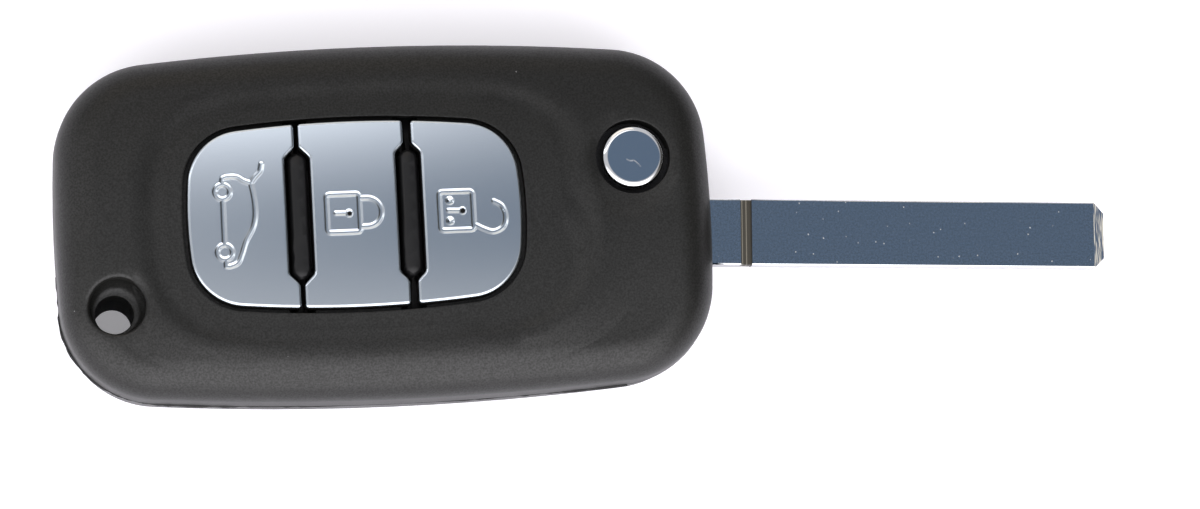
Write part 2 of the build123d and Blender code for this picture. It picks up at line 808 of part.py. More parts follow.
# Blade: flat ground bar, uncut, with a stop groove near the hub and a bevelled tip
blade_axis = Plane(
    origin=(pivot_x, pivot_y, blade_height),
    x_dir=hub_plane.x_dir,
    z_dir=-hub_plane.y_dir,
)
groove_plane = Plane(
    origin=hub_plane.from_local_coords((stop_groove_start, -blade_offset, blade_height)),
    x_dir=hub_plane.y_dir,
    z_dir=hub_plane.x_dir,
)
with BuildPart() as key_blade:
    with BuildSketch(hub_plane.offset(blade_height - blade_thickness / 2)) as blade_plan:
        with Locations((arm_front, -blade_offset)):
            Rectangle(blade_reach - arm_front, blade_width, align=(Align.MIN, Align.CENTER))
        chamfer(blade_plan.vertices().sort_by(Axis.X)[-2:], tip_corner)
        with Locations((tang_start, -blade_offset)):
            Rectangle(blade_reach / 2, tang_width, align=(Align.MIN, Align.CENTER))
    extrude(amount=blade_thickness)
    with BuildSketch(blade_axis):
        for side in (1, -1):
            with BuildLine():
                Polyline(
                    (blade_reach - tip_bevel_length, side * blade_thickness / 2),
                    (blade_reach, side * (blade_thickness / 2 - tip_bevel_depth)),
                    (blade_reach, side * blade_thickness / 2),
                    close=True,
                )
            make_face()
    extrude(amount=2 * arm_side, mode=Mode.SUBTRACT)
    with BuildSketch(groove_plane):
        Rectangle(2 * blade_width, 2 * blade_thickness)
        Rectangle(
            blade_width - 2 * stop_groove_depth,
            blade_thickness - 2 * stop_groove_depth,
            mode=Mode.SUBTRACT,
        )
    extrude(amount=stop_groove_width, mode=Mode.SUBTRACT)
    with BuildSketch(hub_plane):
        with Locations((roll_pin_x, -blade_offset)):
            Circle(roll_pin_radius + roll_pin_clearance)
    extrude(amount=case_height, mode=Mode.SUBTRACT)

# Slit spring pin through the arm and the tang
with BuildPart() as blade_roll_pin:
    with BuildSketch(hub_plane.offset(arm_bottom)):
        with Locations((roll_pin_x, -blade_offset)):
            Circle(roll_pin_radius)
            Circle(roll_pin_bore, mode=Mode.SUBTRACT)
            Rectangle(2 * roll_pin_radius, roll_pin_slit, align=(Align.MIN, Align.CENTER), mode=Mode.SUBTRACT)
    extrude(amount=arm_thickness)

# Plunger: slides in the barrel, and its two lugs lock the hub to the roof of the case
cap_bottom = release_cap_top - release_cap_height
stem_top = release_cap_top - release_cap_skin
with BuildPart() as release_plunger:
    with BuildSketch(hub_plane.offset(plunger_bottom)):
        Circle(bore_radius - plunger_clearance)
    extrude(amount=plunger_height)
    with BuildSketch(hub_plane.offset(lug_top - lug_height)):
        Rectangle(2 * barrel_radius, lug_width)
        Circle(lug_reach, mode=Mode.INTERSECT)
    extrude(amount=lug_height)
    with BuildSketch(hub_plane.offset(lug_top)):
        Circle(release_stem_radius)
    extrude(amount=stem_top - lug_top)
    with BuildSketch(hub_plane.offset(plunger_bottom)):
        Circle(spring_groove_outer)
        Circle(spring_groove_inner, mode=Mode.SUBTRACT)
        with Locations((spring_radius, spring_leg + spring_stop_gap)):
            Rectangle(spring_radius, spring_stop_width, align=(Align.CENTER, Align.MIN), mode=Mode.SUBTRACT)
    extrude(amount=spring_groove_depth, mode=Mode.SUBTRACT)

# Bright cap of the release button, pushed onto the plunger's stem
with BuildPart() as release_button:
    with BuildSketch(hub_plane.offset(cap_bottom)):
        Circle(release_cap_radius)
    extrude(amount=release_cap_height)
    fillet(release_button.faces().sort_by(Axis.Z)[-1].edges(), release_cap_edge_radius)
    with BuildSketch(hub_plane.offset(cap_bottom)):
        Circle(release_stem_radius)
    extrude(amount=stem_top - cap_bottom, mode=Mode.SUBTRACT)

# One spring turns the hub and lifts the plunger
spring_bottom = seat_flange_top + spring_seat_gap + spring_wire / 2
spring_height = plunger_bottom + spring_groove_depth - spring_seat_gap - spring_wire / 2 - spring_bottom
with BuildPart() as flip_spring:
    with BuildLine(hub_plane.offset(spring_bottom)) as coil:
        Helix(spring_height / spring_turns, spring_height, spring_radius)
    with BuildSketch(Plane(origin=coil.line @ 0, z_dir=coil.line % 0)):
        RegularPolygon(spring_wire / 2, spring_wire_sides, major_radius=False)
    sweep(path=coil.line, is_frenet=True)
    for end in flip_spring.faces().filter_by(GeomType.PLANE):
        extrude(to_extrude=end, amount=spring_leg)

# Spring seat: stays still in the floor, keyed by its square foot
with BuildPart() as spring_seat:
    with BuildSketch(Plane.XY.offset(wall - seat_key_depth)):
        with Locations((pivot_x, pivot_y)):
            Rectangle(seat_key_length, seat_key_width)
    extrude(amount=seat_key_depth)
    with BuildSketch(Plane.XY.offset(wall)):
        with Locations((pivot_x, pivot_y)):
            Circle(bore_radius - seat_flange_clearance)
    extrude(amount=seat_flange_thickness)
    with BuildSketch(Plane.XY.offset(seat_flange_top)):
        with Locations((pivot_x, pivot_y)):
            Circle(seat_spigot_radius)
    extrude(amount=seat_spigot_height)
    with BuildSketch(hub_plane.offset(seat_flange_top)):
        with Locations((0, -spring_leg - spring_stop_gap)):
            Rectangle(
                bore_radius - seat_flange_clearance,
                spring_stop_width,
                align=(Align.MIN, Align.MAX),
            )
        Circle(spring_radius + spring_wire / 2, mode=Mode.INTERSECT)
    extrude(amount=seat_stop_height)

# Cell contacts, bent from thin strip
contact_floor = wall + contact_thickness / 2
contact_plane = Plane(origin=(0, cell_y - contact_width / 2, 0), x_dir=(1, 0, 0), z_dir=(0, -1, 0))
with BuildPart() as contact_negative:
    with BuildSketch(contact_plane):
        with BuildLine():
            Polyline(
                (cell_x - contact_foot_length, contact_floor),
                (cell_x + contact_bend_start, contact_floor),
                (cell_x + contact_crest_reach, contact_floor + contact_crest_height),
                (cell_x + contact_tip_reach, contact_floor + contact_tip_height),
            )
        trace(line_width=contact_thickness)
    extrude(amount=-contact_width)

contact_upright_x = cell_x + cell_radius + cell_clearance + inner_wall / 2 + contact_thickness
with BuildPart() as contact_positive:
    with BuildSketch(contact_plane):
        with BuildLine():
            Polyline(
                (contact_upright_x + contact_foot_length, contact_floor),
                (contact_upright_x, contact_floor),
                (contact_upright_x, cell_wall_top - contact_hook),
                (contact_upright_x - contact_hook, cell_wall_top - contact_thickness),
            )
        trace(line_width=contact_thickness)
    extrude(amount=-contact_width)

# Screw that closes the case at the key-ring end
with BuildPart() as case_screw:
    with BuildSketch(Plane.XY.offset(screw_head_depth)):
        with Locations((screw_x, screw_y)):
            Circle(screw_head_radius)
    extrude(amount=screw_head_height)
    with BuildSketch(Plane.XY.offset(screw_head_depth + screw_head_height)):
        with Locations((screw_x, screw_y)):
            Circle(screw_radius)
    extrude(amount=screw_top - screw_head_depth - screw_head_height)
    with BuildSketch(Plane.XY.offset(screw_head_depth)):
        with Locations((screw_x, screw_y)):
            Rectangle(2 * screw_radius, screw_recess)
            Rectangle(screw_recess, 2 * screw_radius)
    extrude(amount=screw_recess, mode=Mode.SUBTRACT)

pieces = {
    "upper_case": upper_case.part,
    "lower_case": lower_case.part,
    "button_trunk": button_trunk,
    "button_lock": button_lock,
    "button_unlock": button_unlock,
    "keypad_mat": keypad_mat.part,
    "keypad_plate": keypad_plate.part,
    "flip_hub": flip_hub.part,
    "key_blade": key_blade.part,
    "blade_roll_pin": blade_roll_pin.part,
    "release_plunger": release_plunger.part,
    "release_button": release_button.part,
    "flip_spring": flip_spring.part,
    "spring_seat": spring_seat.part,
    "contact_negative": contact_negative.part,
    "contact_positive": contact_positive.part,
    "case_screw": case_screw.part,
}

os.makedirs("parts", exist_ok=True)
for name, piece in pieces.items():
    piece.label = name
    export_step(piece, f"parts/{name}.step")
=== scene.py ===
import math

import bmesh
import bpy
import numpy as np
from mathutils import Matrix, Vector


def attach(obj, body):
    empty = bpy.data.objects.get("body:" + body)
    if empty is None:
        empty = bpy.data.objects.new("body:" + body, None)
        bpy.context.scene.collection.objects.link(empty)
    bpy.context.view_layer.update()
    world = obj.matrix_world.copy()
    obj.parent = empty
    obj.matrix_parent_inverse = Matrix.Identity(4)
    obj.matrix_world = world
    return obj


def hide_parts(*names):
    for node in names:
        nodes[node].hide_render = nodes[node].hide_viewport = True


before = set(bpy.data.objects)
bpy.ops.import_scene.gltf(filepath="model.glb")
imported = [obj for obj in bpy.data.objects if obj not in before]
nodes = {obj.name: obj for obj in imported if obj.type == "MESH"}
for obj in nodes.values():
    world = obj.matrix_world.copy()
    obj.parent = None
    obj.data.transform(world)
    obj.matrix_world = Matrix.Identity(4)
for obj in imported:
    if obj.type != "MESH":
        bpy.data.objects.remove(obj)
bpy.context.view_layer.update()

MM = 0.001

# Camera: nearly straight above the key, a little to its left and near side, with a long lens
# and no shift. Its place and turn were fitted to the key's outline in the 1200 x 509 picture.
camera_place = (-42.25, -73.57, 494.81)
camera_turn_deg = (8.489, -7.116, -3.261)
camera_sensor = 36.0
camera_lens = 141.52

camera_data = bpy.data.cameras.new("camera")
camera_data.sensor_width = camera_sensor
camera_data.lens = camera_lens
camera = bpy.data.objects.new("camera", camera_data)
camera.location = [value * MM for value in camera_place]
camera.rotation_euler = [math.radians(value) for value in camera_turn_deg]
bpy.context.scene.collection.objects.link(camera)
bpy.context.scene.camera = camera
bpy.context.scene.view_settings.view_transform = "Standard"


# Light: a pale tent, brighter on its near side, with a dusky blue opening overhead, which the
# blade, the keys and the bright cap mirror. A bright band beyond it is for the keys' top edges, the
# room past the blade's tip is dark, and two soft boxes light the case's shoulders.
def linear(code):
    """Linear RGBA of an sRGB hex colour such as #8090a0."""
    channels = np.array([int(code[place : place + 2], 16) for place in (1, 3, 5)]) / 255
    low = channels / 12.92
    high = ((channels + 0.055) / 1.055) ** 2.4
    return (*np.where(channels <= 0.04045, low, high).tolist(), 1.0)


def add_node(tree, kind, inputs=None, **settings):
    """Adds a node of this kind with its settings, and its inputs as values or as links."""
    new = tree.nodes.new(kind)
    for name, value in settings.items():
        setattr(new, name, value)
    for name, value in (inputs or {}).items():
        if isinstance(value, bpy.types.NodeSocket):
            tree.links.new(value, new.inputs[name])
        else:
            new.inputs[name].default_value = value
    return new


opening_middle = (0.24, 0.15, 0.0)
opening_reach = (0.5, 0.19)
opening_core = 0.25
opening_colour = linear("#70849d")
room_start = 0.45
room_full = 0.8
room_colour = linear("#565451")
tent_colour = linear("#f4f3f6")
tent_strength = 0.84
tent_near_strength = 3.4
near_start = -0.08
near_full = -0.5
lamp_band = (0.255, 0.34, 0.38, 0.5)
lamp_band_side = (0.04, 0.2)
lamp_band_strength = 2.4

world = bpy.data.worlds.new("light tent")
world.use_nodes = True
bpy.context.scene.world = world
tree = world.node_tree
tree.nodes.clear()
direction = add_node(tree, "ShaderNodeTexCoord").outputs["Generated"]
aside = add_node(
    tree, "ShaderNodeVectorMath", {0: direction, 1: opening_middle}, operation="SUBTRACT"
).outputs[0]
scaled = add_node(
    tree,
    "ShaderNodeVectorMath",
    {0: aside, 1: (1 / opening_reach[0], 1 / opening_reach[1], 0.0)},
    operation="MULTIPLY",
).outputs[0]
away = add_node(tree, "ShaderNodeVectorMath", {0: scaled}, operation="LENGTH").outputs["Value"]
share = add_node(
    tree,
    "ShaderNodeMapRange",
    {"Value": away, "From Min": opening_core, "From Max": 1.0},
    interpolation_type="SMOOTHSTEP",
).outputs["Result"]
sky = add_node(
    tree,
    "ShaderNodeMix",
    {"Factor": share, 6: opening_colour, 7: tent_colour},
    data_type="RGBA",
).outputs[2]
split = add_node(tree, "ShaderNodeSeparateXYZ", {"Vector": direction})
sideways = split.outputs["X"]
toward_far = split.outputs["Y"]
beyond = add_node(
    tree,
    "ShaderNodeMapRange",
    {"Value": sideways, "From Min": room_start, "From Max": room_full},
    interpolation_type="SMOOTHSTEP",
).outputs["Result"]
sky = add_node(
    tree, "ShaderNodeMix", {"Factor": beyond, 6: sky, 7: room_colour}, data_type="RGBA"
).outputs[2]
strength = add_node(
    tree,
    "ShaderNodeMapRange",
    {
        "Value": toward_far,
        "From Min": near_full,
        "From Max": near_start,
        "To Min": tent_near_strength,
        "To Max": tent_strength,
    },
    interpolation_type="SMOOTHSTEP",
).outputs["Result"]
band_start = add_node(
    tree,
    "ShaderNodeMapRange",
    {"Value": toward_far, "From Min": lamp_band[0], "From Max": lamp_band[1]},
    interpolation_type="SMOOTHSTEP",
).outputs["Result"]
band_end = add_node(
    tree,
    "ShaderNodeMapRange",
    {"Value": toward_far, "From Min": lamp_band[2], "From Max": lamp_band[3]},
    interpolation_type="SMOOTHSTEP",
).outputs["Result"]
band = add_node(
    tree, "ShaderNodeMath", {0: band_start, 1: band_end}, operation="SUBTRACT"
).outputs[0]
band_side = add_node(
    tree,
    "ShaderNodeMapRange",
    {
        "Value": sideways,
        "From Min": lamp_band_side[0],
        "From Max": lamp_band_side[1],
        "To Min": lamp_band_strength,
        "To Max": 0.0,
    },
    interpolation_type="SMOOTHSTEP",
).outputs["Result"]
strength = add_node(
    tree, "ShaderNodeMath", {0: band, 1: band_side, 2: strength}, operation="MULTIPLY_ADD"
).outputs[0]
glow = add_node(tree, "ShaderNodeBackground", {"Color": sky, "Strength": strength})
add_node(tree, "ShaderNodeOutputWorld", {"Surface": glow.outputs["Background"]})

for name, place, size, watts, tint in [
    ("near soft box", (0.12, -0.56, 0.36), 0.7, 1.5, "#fdfaff"),
    ("far soft box", (-0.1, 0.6, 0.35), 0.5, 0.6, "#ffeccf"),
]:
    lamp_data = bpy.data.lights.new(name, "AREA")
    lamp_data.color = linear(tint)[:3]
    lamp_data.size = size
    lamp_data.energy = watts
    lamp = bpy.data.objects.new(name, lamp_data)
    lamp.location = place
    lamp.rotation_euler = (-Vector(place)).to_track_quat("-Z", "Y").to_euler()
    bpy.context.scene.collection.objects.link(lamp)

# Floor: white card under the key, which keeps its soft shadow and is seen nearly white.
floor_size = 6.0
floor_drop = 0.00002
floor_colour = linear("#f3f2f6")
floor_glow = 0.30

floor_mesh = bpy.data.meshes.new("floor")
edge = floor_size / 2
corners = [(-edge, -edge), (edge, -edge), (edge, edge), (-edge, edge)]
floor_mesh.from_pydata([(x, y, -floor_drop) for x, y in corners], [], [(0, 1, 2, 3)])
floor = bpy.data.objects.new("floor", floor_mesh)
bpy.context.scene.collection.objects.link(floor)
card = bpy.data.materials.new("white card")
card.use_nodes = True
tree = card.node_tree
tree.nodes.clear()
matt = add_node(tree, "ShaderNodeBsdfDiffuse", {"Color": floor_colour})
seen = add_node(tree, "ShaderNodeLightPath").outputs["Is Camera Ray"]
lift = add_node(
    tree, "ShaderNodeMath", {0: seen, 1: floor_glow}, operation="MULTIPLY"
).outputs[0]
shine = add_node(tree, "ShaderNodeEmission", {"Color": floor_colour, "Strength": lift})
both = add_node(tree, "ShaderNodeAddShader", {0: matt.outputs[0], 1: shine.outputs[0]})
add_node(tree, "ShaderNodeOutputMaterial", {"Surface": both.outputs[0]})
floor_mesh.materials.append(card)


# Case halves: injection-moulded ABS, black, from a tool spark-eroded to a fine matt grain. They
# clip together at the parting line, and their edges are slightly rounded by the tool's polish.
case_colour = linear("#121211")
case_rubbed_colour = linear("#181816")
dust_colour = linear("#6f6e70")
case_roughness = 0.41
noise_middle = (0.35, 0.65)
grain_size = 0.2
grain_depth = 0.012
grain_strength = 0.7
grain_shine = (0.24, 0.42)
patch_size = 9.0
patch_gloss = (-0.03, 0.05)
dust_spacing = 2.6
dust_radius = 0.07
dust_threshold = 0.5
case_edge_radius = 0.25
dish_middle = (-2.2, 0.4)
dish_half = (23.0, 13.5)
dish_rim_softness = 2.2
dish_rim_inside = (0.55, 0.62)
dish_rim_outside = (1.25, 1.32)
near_side_fall = 0.16
near_side_reach = 3.0
near_side_span = (-2.0, -14.0)
# The far side's lowered shine is painted shade.
far_painted_shade_span = (2.0, 12.0)
far_side_painted_shade_shine = 0.68
case_crease_deg = 20.0
merge_distance = 0.0002


def new_material(name):
    """Empty node material with its Principled shader, its tree and its Object coordinates."""
    material = bpy.data.materials.new(name)
    material.use_nodes = True
    tree = material.node_tree
    tree.nodes.clear()
    shader = add_node(tree, "ShaderNodeBsdfPrincipled")
    add_node(tree, "ShaderNodeOutputMaterial", {"Surface": shader.outputs["BSDF"]})
    place = add_node(tree, "ShaderNodeTexCoord").outputs["Object"]
    return material, tree, shader, place


def moulded_abs(name, colour, rubbed, roughness, edge_radius):
    """Spark-eroded ABS: a fine grain as bump and as changes of shine, wide patches that differ a
    little in shade and gloss, and sparse dust. The material is returned with its tree, its shader,
    its Object coordinates, the nodes that round and roughen its normals, and its shine."""
    material, tree, shader, place = new_material(name)
    grain = add_node(
        tree, "ShaderNodeTexNoise", {"Vector": place, "Scale": 1 / (grain_size * MM), "Detail": 3.0}
    ).outputs["Fac"]
    shine = add_node(
        tree,
        "ShaderNodeMapRange",
        {
            "Value": grain,
            "From Min": noise_middle[0],
            "From Max": noise_middle[1],
            "To Min": grain_shine[0],
            "To Max": grain_shine[1],
        },
    ).outputs["Result"]
    tree.links.new(shine, shader.inputs["Specular IOR Level"])
    patch = add_node(
        tree, "ShaderNodeTexNoise", {"Vector": place, "Scale": 1 / (patch_size * MM), "Detail": 3.0}
    ).outputs["Fac"]
    shade = add_node(
        tree, "ShaderNodeMix", {"Factor": patch, 6: colour, 7: rubbed}, data_type="RGBA"
    ).outputs[2]
    cells = add_node(
        tree, "ShaderNodeTexVoronoi", {"Vector": place, "Scale": 1 / (dust_spacing * MM)}
    )
    near = add_node(
        tree,
        "ShaderNodeMath",
        {0: cells.outputs["Distance"], 1: dust_radius / dust_spacing},
        operation="LESS_THAN",
    ).outputs[0]
    some = add_node(
        tree,
        "ShaderNodeMath",
        {0: cells.outputs["Color"], 1: dust_threshold},
        operation="GREATER_THAN",
    ).outputs[0]
    speck = add_node(tree, "ShaderNodeMath", {0: near, 1: some}, operation="MULTIPLY").outputs[0]
    dusty = add_node(
        tree, "ShaderNodeMix", {"Factor": speck, 6: shade, 7: dust_colour}, data_type="RGBA"
    ).outputs[2]
    tree.links.new(dusty, shader.inputs["Base Color"])
    gloss = add_node(
        tree,
        "ShaderNodeMapRange",
        {
            "Value": patch,
            "To Min": roughness + patch_gloss[0],
            "To Max": roughness + patch_gloss[1],
        },
    ).outputs["Result"]
    tree.links.new(gloss, shader.inputs["Roughness"])
    rounded = add_node(tree, "ShaderNodeBevel", {"Radius": edge_radius * MM}, samples=6)
    bump = add_node(
        tree,
        "ShaderNodeBump",
        {
            "Height": grain,
            "Distance": grain_depth * MM,
            "Strength": grain_strength,
            "Normal": rounded.outputs["Normal"],
        },
    )
    tree.links.new(bump.outputs["Normal"], shader.inputs["Normal"])
    return material, tree, shader, place, rounded, bump, shine


def dress(node, material):
    """Gives a node its material."""
    piece = nodes[node]
    piece.data.materials.clear()
    piece.data.materials.append(material)


def soft_copy(node, name, body, crease_deg):
    """A node's own surface with its doubled corners merged, shaded soft except at its creases."""
    surface = bmesh.new()
    surface.from_mesh(nodes[node].data)
    bmesh.ops.remove_doubles(surface, verts=surface.verts, dist=merge_distance * MM)
    mesh = bpy.data.meshes.new(name)
    surface.to_mesh(mesh)
    surface.free()
    mesh.materials.clear()
    mesh.shade_smooth()
    mesh.set_sharp_from_angle(angle=math.radians(crease_deg))
    piece = bpy.data.objects.new(name, mesh)
    bpy.context.scene.collection.objects.link(piece)
    even = piece.modifiers.new("even shading", "WEIGHTED_NORMAL")
    even.keep_sharp = True
    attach(piece, body)
    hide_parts(node)
    return piece


black_abs, tree, shader, place, rounded, bump, shine = moulded_abs(
    "moulded black ABS", case_colour, case_rubbed_colour, case_roughness, case_edge_radius
)
# The dish round the keys has a soft rim: its edges get a wide radius, and all others a narrow one.
# The fourth powers of the distances from its middle, as shares of its half sizes, find the rim.
centred = add_node(
    tree,
    "ShaderNodeMapping",
    {
        "Vector": place,
        "Location": (-dish_middle[0] / dish_half[0], -dish_middle[1] / dish_half[1], 0.0),
        "Scale": (1 / (dish_half[0] * MM), 1 / (dish_half[1] * MM), 0.0),
    },
).outputs["Vector"]
squared = add_node(
    tree, "ShaderNodeVectorMath", {0: centred, 1: centred}, operation="MULTIPLY"
).outputs[0]
fourth = add_node(
    tree, "ShaderNodeVectorMath", {0: squared, 1: squared}, operation="DOT_PRODUCT"
).outputs["Value"]
inside = add_node(
    tree,
    "ShaderNodeMapRange",
    {"Value": fourth, "From Min": dish_rim_inside[0], "From Max": dish_rim_inside[1]},
).outputs["Result"]
outside = add_node(
    tree,
    "ShaderNodeMapRange",
    {"Value": fourth, "From Min": dish_rim_outside[0], "From Max": dish_rim_outside[1]},
).outputs["Result"]
rim_share = add_node(
    tree, "ShaderNodeMath", {0: inside, 1: outside}, operation="SUBTRACT"
).outputs[0]
width = add_node(
    tree,
    "ShaderNodeMapRange",
    {"Value": rim_share, "To Min": case_edge_radius * MM, "To Max": dish_rim_softness * MM},
).outputs["Result"]
tree.links.new(width, rounded.inputs["Radius"])
# Past the dish's near rim the shading leans toward the near light, as if the moulding fell away
# a little faster than its crown: a bump that drops over the first few millimetres past the rim.
reach = add_node(tree, "ShaderNodeMath", {0: fourth, 1: 0.25}, operation="POWER").outputs[0]
past_rim = add_node(
    tree,
    "ShaderNodeMapRange",
    {
        "Value": reach,
        "From Min": 1.0,
        "From Max": 1.0 + near_side_reach / dish_half[1],
        "To Max": near_side_reach * MM,
    },
).outputs["Result"]
near_to_far = add_node(tree, "ShaderNodeSeparateXYZ", {"Vector": place}).outputs["Y"]
on_near_side = add_node(
    tree,
    "ShaderNodeMapRange",
    {
        "Value": near_to_far,
        "From Min": near_side_span[0] * MM,
        "From Max": near_side_span[1] * MM,
        "To Max": -near_side_fall,
    },
    interpolation_type="SMOOTHSTEP",
).outputs["Result"]
drop = add_node(
    tree, "ShaderNodeMath", {0: past_rim, 1: on_near_side}, operation="MULTIPLY"
).outputs[0]
fall = add_node(
    tree, "ShaderNodeBump", {"Height": drop, "Distance": 1.0, "Normal": rounded.outputs["Normal"]}
)
tree.links.new(fall.outputs["Normal"], bump.inputs["Normal"])
# The far side is given less shine by its place: painted shade, which keeps it as quiet as it looks
# in the picture.
far_painted_shade_share = add_node(
    tree,
    "ShaderNodeMapRange",
    {
        "Value": near_to_far,
        "From Min": far_painted_shade_span[0] * MM,
        "From Max": far_painted_shade_span[1] * MM,
        "To Min": 1.0,
        "To Max": far_side_painted_shade_shine,
    },
).outputs["Result"]
shine_with_painted_shade = add_node(
    tree, "ShaderNodeMath", {0: far_painted_shade_share, 1: shine}, operation="MULTIPLY"
).outputs[0]
tree.links.new(shine_with_painted_shade, shader.inputs["Specular IOR Level"])
for half in ("upper_case", "lower_case"):
    shell = soft_copy(half, half + "_moulding", "case", case_crease_deg)
    shell.data.materials.append(black_abs)


# Seam flash: ABS squeezed out between the tool's halves, a thin black ragged fin in the parting
# line, left on the key-ring end and the near side where the edge was never trimmed. Its black,
# deeper than the case's, is painted shade for the dark gap along the parting line.
case_length = 68.8
case_width = 37.5
case_side_bow = 291.6
case_end_bow = 134.9
case_corner_radius = 10.3
parting_height = 7.4
seam_start_turn = 0.03
flash_root = 0.24
flash_reach = 0.26
flash_side_reach = 0.1
flash_margin = 0.03
flash_thickness = 0.16
flash_tip_thickness = 0.05
flash_steps = 900
flash_waves = ((7, 0.25), (19, 0.35), (60, 0.4))
flash_gap_level = 0.25
flash_contrast = 2.2
side_fade = 1.2
end_fade = 0.3
end_share = 0.35
# Painted shade: the flash is darker than the case, to stand for the shadow in the parting line.
flash_painted_shade_colour = linear("#0c0c0d")
flash_rubbed_painted_shade_colour = linear("#141415")
flash_roughness = 0.55
flash_edge_radius = 0.02


def arc(middle, radius, start, stop, count):
    """Points on a circle about middle, evenly turned from one angle to the other."""
    turn = np.linspace(start, stop, count)
    x = middle[0] + radius * np.cos(turn)
    y = middle[1] + radius * np.sin(turn)
    return np.stack([x, y], axis=1)


def corner_circle(length, width, side_bow, end_bow, radius):
    """The circle that rounds the upper left corner of a bowed plan: its middle lies radius inside
    both the end's arc and the side's arc, and it is returned with the angles where it meets them."""
    end_middle = np.array([end_bow - length / 2, 0.0])
    side_middle = np.array([0.0, width / 2 - side_bow])
    gap = side_middle - end_middle
    distance = np.hypot(*gap)
    along = ((end_bow - radius) ** 2 - (side_bow - radius) ** 2 + distance**2) / (2 * distance)
    across = math.sqrt((end_bow - radius) ** 2 - along**2)
    unit = gap / distance
    middle = end_middle + along * unit + across * np.array([unit[1], -unit[0]])
    from_end = middle - end_middle
    from_side = middle - side_middle
    return middle, math.atan2(from_end[1], from_end[0]), math.atan2(from_side[1], from_side[0])


def spaced(path, count):
    """The same path as count points at even distances along it."""
    steps = np.hypot(*np.diff(path, axis=0).T)
    run = np.concatenate([[0.0], np.cumsum(steps)])
    even = np.linspace(0.0, run[-1], count)
    return np.stack([np.interp(even, run, path[:, axis]) for axis in (0, 1)], axis=1)


def new_piece(name, vertices, faces, body, material):
    """Mesh piece from vertices in millimetres, with soft shading, that rides on a body."""
    mesh = bpy.data.meshes.new(name)
    mesh.from_pydata(vertices * MM, [], faces)
    mesh.shade_smooth()
    mesh.materials.append(material)
    piece = bpy.data.objects.new(name, mesh)
    bpy.context.scene.collection.objects.link(piece)
    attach(piece, body)
    return piece


middle, end_angle, side_angle = corner_circle(
    case_length, case_width, case_side_bow, case_end_bow, case_corner_radius
)
end_middle = (case_end_bow - case_length / 2, 0.0)
side_middle = (0.0, case_width / 2 - case_side_bow)
right_angle = math.pi - side_angle
upper_left = np.vstack([
    arc(end_middle, case_end_bow, math.pi - seam_start_turn, end_angle, 80),
    arc(middle, case_corner_radius, end_angle, side_angle, 80)[1:],
    arc(side_middle, case_side_bow, side_angle, right_angle, 160)[1:],
])
seam = spaced(upper_left * (1, -1), flash_steps)
heading = np.gradient(seam, axis=0)
heading /= np.hypot(*heading.T)[:, None]
inward = np.stack([-heading[:, 1], heading[:, 0]], axis=1)
# How far it reaches out is ragged by three waves, less in the middle of the side and of the end,
# and never past the case's box.
draws = np.random.default_rng(11)
ragged = np.zeros(flash_steps)
for wave_steps, share in flash_waves:
    knots = draws.random(flash_steps // wave_steps + 2)
    ragged += share * np.interp(np.arange(flash_steps) / wave_steps, np.arange(len(knots)), knots)
ragged = np.clip((ragged - flash_gap_level) * flash_contrast, 0.0, 1.0)
at_corner = np.clip((seam[:, 1] + case_width / 2) / side_fade, 0.0, 1.0)
at_corner *= np.clip((seam[:, 0] + case_length / 2) / end_fade, end_share, 1.0)
outset = ragged * (flash_side_reach + (flash_reach - flash_side_reach) * at_corner)
root = seam + inward * flash_root
tip = seam - inward * outset[:, None]
tip = np.maximum(tip, (flash_margin - case_length / 2, flash_margin - case_width / 2))
profile = [
    (root, flash_thickness / 2),
    (tip, flash_tip_thickness / 2),
    (tip, -flash_tip_thickness / 2),
    (root, -flash_thickness / 2),
]
fin = np.concatenate([
    np.column_stack([line, np.full(flash_steps, parting_height + rise)]) for line, rise in profile
])
step = np.arange(flash_steps - 1)
fin_faces = []
for row in range(4):
    first = row * flash_steps + step
    second = ((row + 1) % 4) * flash_steps + step
    fin_faces.append(np.stack([first, second, second + 1, first + 1], axis=1))
ends = [[row * flash_steps for row in (3, 2, 1, 0)]]
ends.append([row * flash_steps + flash_steps - 1 for row in range(4)])
fin_faces = np.concatenate(fin_faces).tolist() + ends
flash_abs = moulded_abs(
    "squeezed ABS flash with painted shade", flash_painted_shade_colour, flash_rubbed_painted_shade_colour, flash_roughness, flash_edge_radius
)[0]
new_piece("seam_flash", fin, fin_faces, "case", flash_abs)


# Key caps: ABS moulded as three crowned caps and plated in satin silver, with a rounded edge that
# catches the light. The tool's raised lines press a pictogram into each as round-edged grooves.
key_field = (-3.45, 0.4)
key_field_length = 34.6
key_field_width = 19.5
key_side_bow = 121.0
key_end_bow = 41.0
key_corner_radius = 5.7
key_slots = ((-5.78, 0.4), (5.71, 0.8))
slot_width = 2.6
slot_length = 14.3
slot_step_softness = 0.28
slot_fillet = 0.35
key_bottom = 11.9
key_skin = 1.0
lip_reach = 1.2
stem_radius = 1.4
key_sink = 0.105
lip_sink = 1.75
case_height = 15.0
crown_across = 150.0
crown_along = 600.0
rim_radius = 0.3
rim_steps = 6
grid_across = 200
grid_up = 350
cap_crease_deg = 50.0
groove_floor = 0.09
groove_edge = 0.32
groove_depth = 0.11


def crown(points, sink):
    """Height of the crowned top lowered by sink: a circle across the key, swung along a larger
    one."""
    x, y = points.T
    across = np.sqrt((crown_across - sink) ** 2 - y**2)
    swing = np.sqrt((crown_along - crown_across + across) ** 2 - x**2)
    return case_height - crown_along + swing


